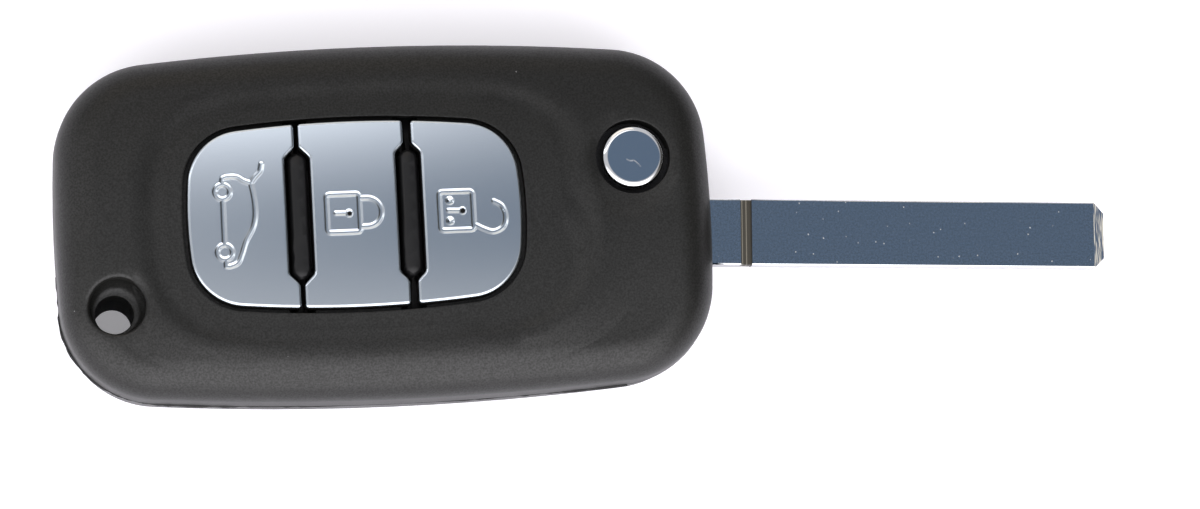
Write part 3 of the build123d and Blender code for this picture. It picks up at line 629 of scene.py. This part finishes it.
def key_edge(slot, growth, width):
    """Left edge of a key from its middle line up to the middle of its corner, the corner's other
    half, and the angle where it stops. The edge is the end's arc, or the slot's centre plus half
    its width there, which narrows from the slot's width to its gap along a ramp with soft ends. A
    width that is given instead makes the edge straight."""
    if slot is None:
        plan = (
            key_field_length + 2 * growth,
            key_field_width + 2 * growth,
            key_side_bow + growth,
            key_end_bow + growth,
        )
        radius = key_corner_radius + growth
        middle, start, stop = corner_circle(*plan, radius)
        edge = arc((key_end_bow - key_field_length / 2, 0.0), plan[3], math.pi, start, 200)
    else:
        centre, gap = slot
        if width is not None:
            gap = width
        radius = slot_fillet
        foot = key_field_width / 2 - key_side_bow
        middle_x = centre + gap / 2 + radius
        middle = np.array([
            middle_x, foot + math.sqrt((key_side_bow + growth - radius) ** 2 - middle_x**2)
        ])
        start = math.pi
        stop = math.atan2(middle[1] - foot, middle[0])
        y = np.linspace(0.0, middle[1], 400)
        half = np.full(len(y), gap / 2)
        if width is None:
            narrowing = (slot_width - gap) / 2
            for bend, sign in ((slot_length / 2 - narrowing, -1), (slot_length / 2, 1)):
                past = np.clip(y - bend, -slot_step_softness, None) + slot_step_softness
                ramp = np.where(
                    y < bend + slot_step_softness, past**2 / (4 * slot_step_softness), y - bend
                )
                half += sign * ramp
            half += narrowing
        edge = np.stack([centre + half, y], axis=1)
    half_way = (start + stop) / 2
    first = arc(middle, radius, start, half_way, 40)
    second = arc(middle, radius, half_way, stop, 40)
    return np.vstack([edge, first[1:]]), second, stop


def key_loop(index, growth=0.0, width=None):
    """Closed outline of a key, anticlockwise from its lower left corner: its edges and its far and
    near arcs, with the same count of points for every outline of the key."""
    slots = (None, *key_slots, None)
    left_slot = slots[index]
    right_slot = slots[index + 1]
    mirrored = None if right_slot is None else (-right_slot[0], right_slot[1])
    left, left_corner, left_stop = key_edge(left_slot, growth, width)
    right, right_corner, right_stop = key_edge(mirrored, growth, width)
    foot = (0.0, key_field_width / 2 - key_side_bow)
    top = arc(foot, key_side_bow + growth, left_stop, math.pi - right_stop, 300)
    flip_x = np.array([-1, 1])
    flip_y = np.array([1, -1])
    top = np.vstack([left_corner, top[1:-1], (right_corner * flip_x)[::-1]])
    right = right * flip_x
    left = spaced(np.vstack([(left * flip_y)[::-1], left[1:]]), grid_up + 1)
    right = spaced(np.vstack([(right * flip_y)[::-1], right[1:]]), grid_up + 1)
    top = spaced(top, grid_across + 1)
    bottom = top * flip_y
    return np.vstack([bottom[:-1], right[:-1], top[:0:-1], left[:0:-1]])


def outward(loop):
    """Unit normals of a closed anticlockwise outline."""
    heading = np.roll(loop, -1, axis=0) - np.roll(loop, 1, axis=0)
    heading /= np.hypot(*heading.T)[:, None]
    return np.stack([heading[:, 1], -heading[:, 0]], axis=1)


def filled(loop):
    """Grid inside a closed outline, blended from its four sides: each point is the mean of the two
    ruled surfaces between opposite sides, less the one through the four corners."""
    bottom = loop[: grid_across + 1]
    right = loop[grid_across : grid_across + grid_up + 1]
    top = loop[grid_across + grid_up : 2 * grid_across + grid_up + 1][::-1]
    left = np.vstack([loop[2 * grid_across + grid_up :], loop[:1]])[::-1]
    u = np.linspace(0, 1, grid_across + 1)[:, None, None]
    v = np.linspace(0, 1, grid_up + 1)[None, :, None]
    ruled_up = (1 - v) * bottom[:, None] + v * top[:, None]
    ruled_across = (1 - u) * left[None] + u * right[None]
    left_corners = (1 - v) * bottom[0] + v * top[0]
    right_corners = (1 - v) * bottom[-1] + v * top[-1]
    return ruled_up + ruled_across - ((1 - u) * left_corners + u * right_corners)


def through(*points):
    """Smooth path through the points: in each gap a cubic whose slope at a point is half the step
    between the point's neighbours."""
    points = np.array(points)
    points = np.vstack([2 * points[0] - points[1], points, 2 * points[-1] - points[-2]])
    before, start, stop, after = points[:-3], points[1:-2], points[2:-1], points[3:]
    t = np.linspace(0, 1, 10, endpoint=False)[None, :, None]
    leave = ((stop - before) / 2)[:, None]
    arrive = ((after - start) / 2)[:, None]
    start = start[:, None]
    stop = stop[:, None]
    curve = (
        start
        + leave * t
        + (3 * (stop - start) - 2 * leave - arrive) * t**2
        + (2 * (start - stop) + leave + arrive) * t**3
    )
    return np.vstack([curve.reshape(-1, 2), points[-2]])


def rounded_box(middle, half_width, half_height, radius):
    """Closed path of a rectangle with round corners."""
    inner = np.array([half_width - radius, half_height - radius])
    signs = ((1, 1), (-1, 1), (-1, -1), (1, -1))
    starts = (0, math.pi / 2, math.pi, -math.pi / 2)
    corners = [
        arc(np.array(middle) + inner * sign, radius, start, start + math.pi / 2, 7)
        for sign, start in zip(signs, starts)
    ]
    return np.vstack([*corners, corners[0][:1]])


def distance_to(path, points):
    """Shortest distance from each point to a path of straight steps."""
    nearest = np.full(len(points), np.inf)
    for start, stop in zip(path[:-1], path[1:]):
        step = stop - start
        share = np.clip((points - start) @ step / (step @ step), 0, 1)
        nearest = np.minimum(nearest, np.hypot(*(points - start - share[:, None] * step).T))
    return nearest


def pressed(points, stroke, floor, edge, depth):
    """Depth of a groove along a path: full within floor of it, and none past edge, with a smooth
    wall between them."""
    share = np.clip((distance_to(stroke, points) - floor) / (edge - floor), 0, 1)
    return depth * (1 - share * share * (3 - 2 * share))


def dot(place):
    """A path so short that it is a point."""
    return np.array([place, (place[0] + 0.001, place[1])])


# The pictograms' lines, about the middle of the key field: paths with the floor's and the edge's
# half width and the depth of the groove. Each hole's painted shade has a middle and the radius
# within which the black ABS is painted in for the shade deep in the hole.
line = (groove_floor, groove_edge, groove_depth)
slit = (0.06, 0.3, 0.1)
wheel = 0.77
boot_places = [(-13.61, 2.74), (-13.62, -3.54)]
boot_lines = [
    *[(arc(place, wheel, 0, 2 * math.pi, 40), *line) for place in boot_places],
    (np.array([(-13.6, 1.97), (-13.62, -2.77)]), *line),
    (
        through(
            (-13.59, 3.5), (-13.5, 4.15), (-12.7, 4.32), (-12.0, 4.22), (-11.4, 3.83),
            (-10.66, 3.54),
        ),
        *line,
    ),
    (through((-10.66, 3.54), (-10.2, 4.18), (-9.65, 4.78), (-9.48, 5.49)), *line),
    (
        through(
            (-10.66, 3.54), (-10.4, 2.0), (-10.33, 0.38), (-10.6, -1.0), (-11.38, -2.43),
            (-11.87, -3.79), (-12.3, -4.65), (-13.0, -5.0), (-13.52, -5.0),
        ),
        *line,
    ),
    (np.array([(-13.53, -4.3), (-13.53, -5.0)]), *line),
]
lock_lines = [
    (rounded_box((-1.27, 0.03), 1.7, 2.0, 0.35), *line),
    (
        np.vstack([
            [(0.45, 1.55)],
            arc((1.2, 0.06), 1.49, math.pi / 2, -math.pi / 2, 24),
            [(0.45, -1.43)],
        ]),
        *line,
    ),
    (np.array([(-2.05, 0.06), (-0.85, 0.03)]), *slit),
    (dot((-0.7, 0.02)), 0.2, 0.48, 0.13),
    (dot((-0.62, -0.01)), 0.14, 0.26, 0.45),
]
unlock_lines = [
    (rounded_box((10.46, -0.15), 1.74, 2.02, 0.35), *line),
    (
        through(
            (12.2, -1.62), (13.22, -2.16), (14.22, -2.45), (15.2, -1.98), (15.54, -0.97),
            (15.21, 0.18), (14.39, 0.73),
        ),
        *line,
    ),
    (np.array([(9.61, -0.09), (10.9, -0.14)]), *slit),
    (dot((11.05, -0.15)), 0.2, 0.45, 0.13),
    (dot((11.1, -0.15)), 0.16, 0.28, 0.45),
    *[(dot(place), 0.02, 0.5, 0.3) for place in ((9.77, 0.95), (9.73, -1.17))],
    (dot((15.38, -0.19)), 0.08, 0.18, 0.3),
]
lock_hole_shades = [((-0.62, -0.01), 0.22)]
unlock_hole_shades = [((11.1, -0.15), 0.24), ((9.6, 0.95), 0.13), ((9.56, -1.17), 0.13)]


def key_cap(name, index, lines, holes):
    """Cap of a key: the crowned face pressed with its lines, the rim as a quarter circle carried
    round the outline, then the side, the lip, the hollow below and the stem down its middle. The
    face and the rim are plated. Below them and in the holes the black ABS is given as painted shade,
    for the gap round the key and the depth of the holes."""
    outline = key_loop(index)
    normals = outward(outline)
    face = filled(outline - rim_radius * normals).reshape(-1, 2)
    sunk = np.zeros(len(face))
    for path, floor_half, edge_half, depth in lines:
        sunk = np.maximum(sunk, pressed(face, path, floor_half, edge_half, depth))
    field = np.array(key_field)
    parts = [np.column_stack([face + field, crown(face + field, key_sink) - sunk])]
    bands = []
    for turn in np.linspace(0, math.pi / 2, rim_steps + 1)[1:]:
        out = outline - rim_radius * (1 - math.sin(turn)) * normals
        bands.append((out, crown(out + field, key_sink) - rim_radius * (1 - math.cos(turn))))
    lip = key_loop(index, lip_reach, slot_width)
    hollow = key_loop(index, -key_skin, slot_width + 2 * key_skin)
    slots = (-key_field_length / 2, *[slot[0] for slot in key_slots], key_field_length / 2)
    stem_middle = np.array([(slots[index] + slots[index + 1]) / 2, 0.0])
    rays = hollow - stem_middle
    stem = stem_middle + stem_radius * rays / np.hypot(*rays.T)[:, None]
    lip_height = crown(lip + field, lip_sink)
    ceiling = key_sink + key_skin
    bands += [
        (outline, crown(outline + field, lip_sink)),
        (lip, lip_height),
        (lip, np.full(len(lip), key_bottom)),
        (hollow, np.full(len(lip), key_bottom)),
        (hollow, crown(hollow + field, ceiling)),
        (stem, crown(stem + field, ceiling)),
        (stem, np.full(len(lip), key_bottom)),
    ]
    parts += [np.column_stack([out + field, height]) for out, height in bands]
    parts.append(np.array([[*(stem_middle + field), key_bottom]]))
    index_of = np.arange((grid_across + 1) * (grid_up + 1)).reshape(grid_across + 1, grid_up + 1)
    face_quads = np.stack(
        [index_of[:-1, :-1], index_of[1:, :-1], index_of[1:, 1:], index_of[:-1, 1:]], axis=-1
    )
    quads = [face_quads.reshape(-1, 4)]
    ring = np.concatenate([
        index_of[:-1, 0], index_of[-1, :-1], index_of[:0:-1, -1], index_of[0, :0:-1]
    ])
    count = len(ring)
    for band in range(len(bands)):
        outer = index_of.size + band * count + np.arange(count)
        quads.append(np.stack([ring, outer, np.roll(outer, -1), np.roll(ring, -1)], axis=1))
        ring = outer
    pole = index_of.size + len(bands) * count
    fan = np.stack([ring, np.full(count, pole), np.roll(ring, -1)], axis=1)
    faces = np.concatenate(quads).tolist() + fan.tolist()
    cap = new_piece(name + "_cap", np.concatenate(parts), faces, name, satin_silver)
    cap.data.materials.append(black_abs)
    # Painted shade: faces below the rim and in the holes get the black ABS, for the shade in the gap
    # round the key and deep in the holes.
    painted_shade_index = np.ones(len(faces), dtype=np.int32)
    painted_shade_index[: grid_across * grid_up + rim_steps * count] = 0
    cells = face.reshape(grid_across + 1, grid_up + 1, 2)
    cells = (cells[:-1, :-1] + cells[1:, :-1] + cells[1:, 1:] + cells[:-1, 1:]) / 4
    cells = cells.reshape(-1, 2)
    for hole, radius in holes:
        painted_shade_index[: len(cells)][np.hypot(*(cells - hole).T) < radius] = 1
    cap.data.polygons.foreach_set("material_index", painted_shade_index)
    cap.data.set_sharp_from_angle(angle=math.radians(cap_crease_deg))
    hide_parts("button_" + name.removesuffix("_key"))


satin_colour = linear("#b9c1c8")
satin_roughness = (0.19, 0.25)
blast_size = 0.16
blast_depth = 0.0004
blast_strength = 0.5

satin_silver, tree, shader, place = new_material("satin plated ABS")
shader.inputs["Metallic"].default_value = 1.0
shader.inputs["Base Color"].default_value = satin_colour
blast = add_node(
    tree, "ShaderNodeTexNoise", {"Vector": place, "Scale": 1 / (blast_size * MM), "Detail": 2.0}
).outputs["Fac"]
gloss = add_node(
    tree,
    "ShaderNodeMapRange",
    {"Value": blast, "To Min": satin_roughness[0], "To Max": satin_roughness[1]},
).outputs["Result"]
tree.links.new(gloss, shader.inputs["Roughness"])
bump = add_node(
    tree,
    "ShaderNodeBump",
    {"Height": blast, "Distance": blast_depth * MM, "Strength": blast_strength},
)
tree.links.new(bump.outputs["Normal"], shader.inputs["Normal"])

key_cap("trunk_key", 0, boot_lines, [])
key_cap("lock_key", 1, lock_lines, lock_hole_shades)
key_cap("unlock_key", 2, unlock_lines, unlock_hole_shades)

# Key mat: black silicone rubber, pressed as one sheet with the domes under the keys and the two
# bars that stand between them. It is held by the plate below.
rubber_colour = linear("#0e0e0f")
rubber_shine = 0.28
rubber_grain_size = 0.3
rubber_roughness = (0.38, 0.5)
rubber_crease_deg = 30.0

silicone, tree, shader, place = new_material("pressed black silicone rubber")
shader.inputs["Base Color"].default_value = rubber_colour
shader.inputs["Specular IOR Level"].default_value = rubber_shine
grain = add_node(
    tree,
    "ShaderNodeTexNoise",
    {"Vector": place, "Scale": 1 / (rubber_grain_size * MM), "Detail": 2.0},
).outputs["Fac"]
gloss = add_node(
    tree,
    "ShaderNodeMapRange",
    {"Value": grain, "To Min": rubber_roughness[0], "To Max": rubber_roughness[1]},
).outputs["Result"]
tree.links.new(gloss, shader.inputs["Roughness"])
mat = soft_copy("keypad_mat", "keypad_mat_rubber", "case", rubber_crease_deg)
mat.data.materials.append(silicone)

# Blade: rolled flat steel, ground and bright plated, with a stop groove milled across it and a
# bevelled tip. A pin holds its tang in the hub. Its flats mirror what is overhead, with pits.
pivot = (25.85, 5.4)
blade_droop_deg = 2.7
groove_span = (12.0, 13.4)
tip_bevel_start = 50.1
blade_width = 7.0
blade_across = -7.0
blade_height = 7.5
blade_thickness = 2.2
groove_side_half = 3.15
groove_side_shown = 3.44
groove_side_tolerance = 0.1
blade_edge_radius = 0.13
blade_edge_tolerance = 0.02
blade_crease_deg = 1.0
cloud_size = 0.2
steel_colour = linear("#cdd0d5")
dull_steel_colour = linear("#b7b9b8")
# The groove's dark colour is milled steel darkened by painted shade, and its two light lines are
# painted highlights.
groove_painted_shade_colour = linear("#504d46")
groove_highlight_colour = linear("#8a8579")
groove_highlights = ((12.31, 0.05), (12.74, 0.05))
# The tip's blue is a painted reflection of the dusky opening overhead, and its light streaks along
# the scratches are painted glints.
tip_reflection_colour = linear("#5f7086")
tip_glint_colour = linear("#f6f2e4")
tip_glint_span = (0.48, 0.6)
tip_metal_share = 0.5
scratch_width = 0.12
scratch_depth = 0.002
scratch_gloss = 0.06
pit_spacing = 0.9
pit_threshold = 0.45
pit_deepening = 12.0
pit_gloss = 0.45


def worked_metal(name, colour, roughness, scratch_strength, stretch, pit_share):
    """Bright metal: fine scratches drawn out along one axis, as a light bump, and sparse pits many
    times deeper, each over the share of its cell. The material is returned with its tree, its
    shader, its Object coordinates and the scratches' strength."""
    material, tree, shader, place = new_material(name)
    shader.inputs["Metallic"].default_value = 1.0
    shader.inputs["Base Color"].default_value = colour
    drawn = add_node(
        tree, "ShaderNodeMapping", {"Vector": place, "Scale": stretch}
    ).outputs["Vector"]
    lines = add_node(
        tree,
        "ShaderNodeTexNoise",
        {"Vector": drawn, "Scale": 1 / (scratch_width * MM), "Detail": 2.0},
    ).outputs["Fac"]
    cells = add_node(
        tree, "ShaderNodeTexVoronoi", {"Vector": place, "Scale": 1 / (pit_spacing * MM)}
    )
    pit = add_node(
        tree,
        "ShaderNodeMapRange",
        {"Value": cells.outputs["Distance"], "From Max": pit_share, "To Min": 1.0, "To Max": 0.0},
        interpolation_type="SMOOTHSTEP",
    ).outputs["Result"]
    some = add_node(
        tree,
        "ShaderNodeMath",
        {0: cells.outputs["Color"], 1: pit_threshold},
        operation="GREATER_THAN",
    ).outputs[0]
    pit = add_node(tree, "ShaderNodeMath", {0: pit, 1: some}, operation="MULTIPLY").outputs[0]
    depth = add_node(
        tree, "ShaderNodeMath", {0: pit, 1: pit_deepening}, operation="MULTIPLY"
    ).outputs[0]
    height = add_node(
        tree, "ShaderNodeMath", {0: lines, 1: depth}, operation="SUBTRACT"
    ).outputs[0]
    bump = add_node(
        tree,
        "ShaderNodeBump",
        {"Height": height, "Distance": scratch_depth * MM, "Strength": scratch_strength},
    )
    tree.links.new(bump.outputs["Normal"], shader.inputs["Normal"])
    gloss = add_node(
        tree,
        "ShaderNodeMapRange",
        {"Value": lines, "To Min": roughness, "To Max": roughness + scratch_gloss},
    ).outputs["Result"]
    dull = add_node(
        tree, "ShaderNodeMath", {0: pit, 1: pit_gloss, 2: gloss}, operation="MULTIPLY_ADD"
    ).outputs[0]
    tree.links.new(dull, shader.inputs["Roughness"])
    return material, tree, shader, place, lines


blade = soft_copy("key_blade", "key_blade_steel", "hub", blade_crease_deg)
blade.modifiers.clear()
# The groove's notches in the blade's two sides are shown shallower than the part has them.
droop = math.radians(blade_droop_deg)
turn = np.array([[math.cos(droop), -math.sin(droop)], [math.sin(droop), math.cos(droop)]])
corners = np.empty(len(blade.data.vertices) * 3)
blade.data.vertices.foreach_get("co", corners)
corners = corners.reshape(-1, 3) / MM
flat = (corners[:, :2] - pivot) @ turn.T - (0.0, blade_across)
in_groove = (flat[:, 0] > groove_span[0]) & (flat[:, 0] < groove_span[1])
on_side = in_groove & (np.abs(np.abs(flat[:, 1]) - groove_side_half) < groove_side_tolerance)
flat[on_side, 1] = np.sign(flat[on_side, 1]) * groove_side_shown
corners[:, :2] = (flat + (0.0, blade_across)) @ turn + pivot
blade.data.vertices.foreach_set("co", (corners * MM).ravel())
# Only the four long edges are broken: an edge counts if both its ends lie on the same one.
ends = np.empty(len(blade.data.edges) * 2, dtype=np.int32)
blade.data.edges.foreach_get("vertices", ends)
side = (flat[:, 1] > 0) + 2 * (corners[:, 2] > blade_height)
from_middle = np.abs(np.stack([flat[:, 1], corners[:, 2] - blade_height], axis=1))
on_edge = np.all(
    np.abs(from_middle - (blade_width / 2, blade_thickness / 2)) < blade_edge_tolerance, axis=1
)
side = np.where(on_edge, side, -1)[ends.reshape(-1, 2)]
weights = ((side[:, 0] == side[:, 1]) & (side[:, 0] >= 0)).astype(np.float32)
weight = blade.data.attributes.new("bevel_weight_edge", "FLOAT", "EDGE")
weight.data.foreach_set("value", weights)
broken_edge = blade.modifiers.new("broken edge", "BEVEL")
broken_edge.width = blade_edge_radius * MM
broken_edge.segments = 2
broken_edge.limit_method = "WEIGHT"
ground, tree, shader, place, lines = worked_metal(
    "ground and plated steel",
    steel_colour,
    roughness=0.06,
    scratch_strength=0.22,
    stretch=(0.06, 1.0, 1.0),
    pit_share=0.14,
)
cloud = add_node(
    tree, "ShaderNodeTexNoise", {"Vector": place, "Scale": 1 / (cloud_size * MM), "Detail": 4.0}
).outputs["Fac"]
cloud = add_node(
    tree,
    "ShaderNodeMapRange",
    {"Value": cloud, "From Min": noise_middle[0], "From Max": noise_middle[1]},
).outputs["Result"]
shade = add_node(
    tree,
    "ShaderNodeMix",
    {"Factor": cloud, 6: dull_steel_colour, 7: steel_colour},
    data_type="RGBA",
).outputs[2]
tree.links.new(shade, shader.inputs["Base Color"])
blade.data.materials.append(ground)

milled, tree, shader, place, lines = worked_metal(
    "milled steel with painted shade",
    groove_painted_shade_colour,
    roughness=0.45,
    scratch_strength=0.8,
    stretch=(1.0, 0.05, 1.0),
    pit_share=0.05,
)
# Painted highlights: two light lines across the groove, over its painted shade.
run = add_node(
    tree, "ShaderNodeVectorMath", {0: place, 1: (*turn[0].tolist(), 0.0)}, operation="DOT_PRODUCT"
).outputs["Value"]
shade = groove_painted_shade_colour
for highlight_place, half_width in groove_highlights:
    from_pivot = float(turn[0] @ np.array(pivot)) + highlight_place
    on_highlight = add_node(
        tree,
        "ShaderNodeMath",
        {0: run, 1: from_pivot * MM, 2: half_width * MM},
        operation="COMPARE",
    ).outputs[0]
    shade = add_node(
        tree,
        "ShaderNodeMix",
        {"Factor": on_highlight, 6: shade, 7: groove_highlight_colour},
        data_type="RGBA",
    ).outputs[2]
tree.links.new(shade, shader.inputs["Base Color"])
blade.data.materials.append(milled)

sawn, tree, shader, place, lines = worked_metal(
    "sawn steel with painted reflection and glints",
    tip_reflection_colour,
    roughness=0.22,
    scratch_strength=1.0,
    stretch=(1.0, 0.06, 1.0),
    pit_share=0.05,
)
# The tip is half metal, so its painted reflection shows as colour.
shader.inputs["Metallic"].default_value = tip_metal_share
glint = add_node(
    tree,
    "ShaderNodeMapRange",
    {"Value": lines, "From Min": tip_glint_span[0], "From Max": tip_glint_span[1]},
).outputs["Result"]
shade = add_node(
    tree,
    "ShaderNodeMix",
    {"Factor": glint, 6: tip_reflection_colour, 7: tip_glint_colour},
    data_type="RGBA",
).outputs[2]
tree.links.new(shade, shader.inputs["Base Color"])
blade.data.materials.append(sawn)
# The three finishes, the groove's and the tip's with painted light, are given to the faces by their
# place along the blade.
centres = np.empty(len(blade.data.polygons) * 3)
blade.data.polygons.foreach_get("center", centres)
along = (centres.reshape(-1, 3)[:, :2] / MM - pivot) @ turn[0]
in_groove = (along > groove_span[0]) & (along < groove_span[1])
past_bevel = along > tip_bevel_start
blade.data.polygons.foreach_set(
    "material_index", np.where(past_bevel, 2, np.where(in_groove, 1, 0)).astype(np.int32)
)

# Release cap: pressed steel cup, polished and chromed, over the plunger's stem. The rim is rolled
# over, so it mirrors the tent as a bright ring round the flat face, which has one scratch: a path
# with the floor's and the edge's half width and the depth.
cap_top = 14.3
cap_radius = 3.26
cap_flat_radius = 2.68
cap_rim_height = 0.55
cap_bottom = 12.6
cap_hollow_radius = 2.85
cap_skin = 0.8
cap_turns = 200
cap_flat_rings = 70
cap_rim_steps = 8
cup_crease_deg = 40.0
chrome_colour = linear("#d6d8da")
scratch = (through((-0.74, -0.3), (-0.4, -0.47), (0.1, -0.5), (0.67, -1.1)), 0.01, 0.06, 0.006)

chrome = worked_metal(
    "chrome plate",
    chrome_colour,
    roughness=0.05,
    scratch_strength=0.1,
    stretch=(1.0, 1.0, 1.0),
    pit_share=0.05,
)[0]
turn = np.linspace(0, math.pi / 2, cap_rim_steps + 1)[1:]
radii = np.concatenate([
    np.linspace(0, cap_flat_radius, cap_flat_rings + 1)[1:],
    cap_flat_radius + (cap_radius - cap_flat_radius) * np.sin(turn),
    [cap_radius, cap_hollow_radius, cap_hollow_radius],
])
heights = np.concatenate([
    np.full(cap_flat_rings, cap_top),
    cap_top - cap_rim_height * (1 - np.cos(turn)),
    [cap_bottom, cap_bottom, cap_top - cap_skin],
])
turns = np.linspace(0, 2 * math.pi, cap_turns, endpoint=False)
spokes = np.stack([np.cos(turns), np.sin(turns)], axis=1)
discs = radii[:, None, None] * spokes
rise = np.repeat(heights, cap_turns)
on_flat = discs[:cap_flat_rings].reshape(-1, 2)
rise[: len(on_flat)] -= pressed(on_flat, *scratch)
cup = np.column_stack([discs.reshape(-1, 2) + pivot, rise])
cup = np.vstack([cup, [(*pivot, cap_top), (*pivot, cap_top - cap_skin)]])
rings = np.arange(len(radii) * cap_turns).reshape(len(radii), cap_turns)
after = np.roll(rings, -1, axis=1)
sides = np.stack([rings[:-1], rings[1:], after[1:], after[:-1]], axis=-1).reshape(-1, 4)
top_fan = np.stack([np.full(cap_turns, rings.size), rings[0], after[0]], axis=1)
foot_fan = np.stack([np.full(cap_turns, rings.size + 1), after[-1], rings[-1]], axis=1)
cup_faces = sides.tolist() + top_fan.tolist() + foot_fan.tolist()
cap = new_piece("release_button_cap", cup, cup_faces, "release", chrome)
cap.data.set_sharp_from_angle(angle=math.radians(cup_crease_deg))
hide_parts("release_button")

# Mechanism: a die-cast hub with its spring and the blade's roll pin, the plunger, the spring's
# seat, the keys' plate, the cell's brass contacts and the case's screw. Little of it shows with the
# case closed, apart from the hub's arm beside the folded blade.
zinc_colour = linear("#8d9094")
wire_colour = linear("#9a9b9d")
brass_colour = linear("#c9a86a")
inner_colour = linear("#222224")
inner_rubbed_colour = linear("#2a2a2c")

cast_zinc = worked_metal(
    "die-cast metal",
    zinc_colour,
    roughness=0.4,
    scratch_strength=0.6,
    stretch=(1.0, 1.0, 1.0),
    pit_share=0.08,
)[0]
drawn_wire = worked_metal(
    "drawn spring steel",
    wire_colour,
    roughness=0.25,
    scratch_strength=0.3,
    stretch=(0.2, 1.0, 1.0),
    pit_share=0.05,
)[0]
brass = worked_metal(
    "stamped brass",
    brass_colour,
    roughness=0.22,
    scratch_strength=0.3,
    stretch=(0.1, 1.0, 1.0),
    pit_share=0.05,
)[0]
inner_abs = moulded_abs(
    "natural black ABS", inner_colour, inner_rubbed_colour, roughness=0.45, edge_radius=0.1
)[0]
dress("flip_hub", cast_zinc)
for part in ("blade_roll_pin", "flip_spring", "case_screw"):
    dress(part, drawn_wire)
for part in ("keypad_plate", "release_plunger", "spring_seat"):
    dress(part, inner_abs)
for part in ("contact_negative", "contact_positive"):
    dress(part, brass)
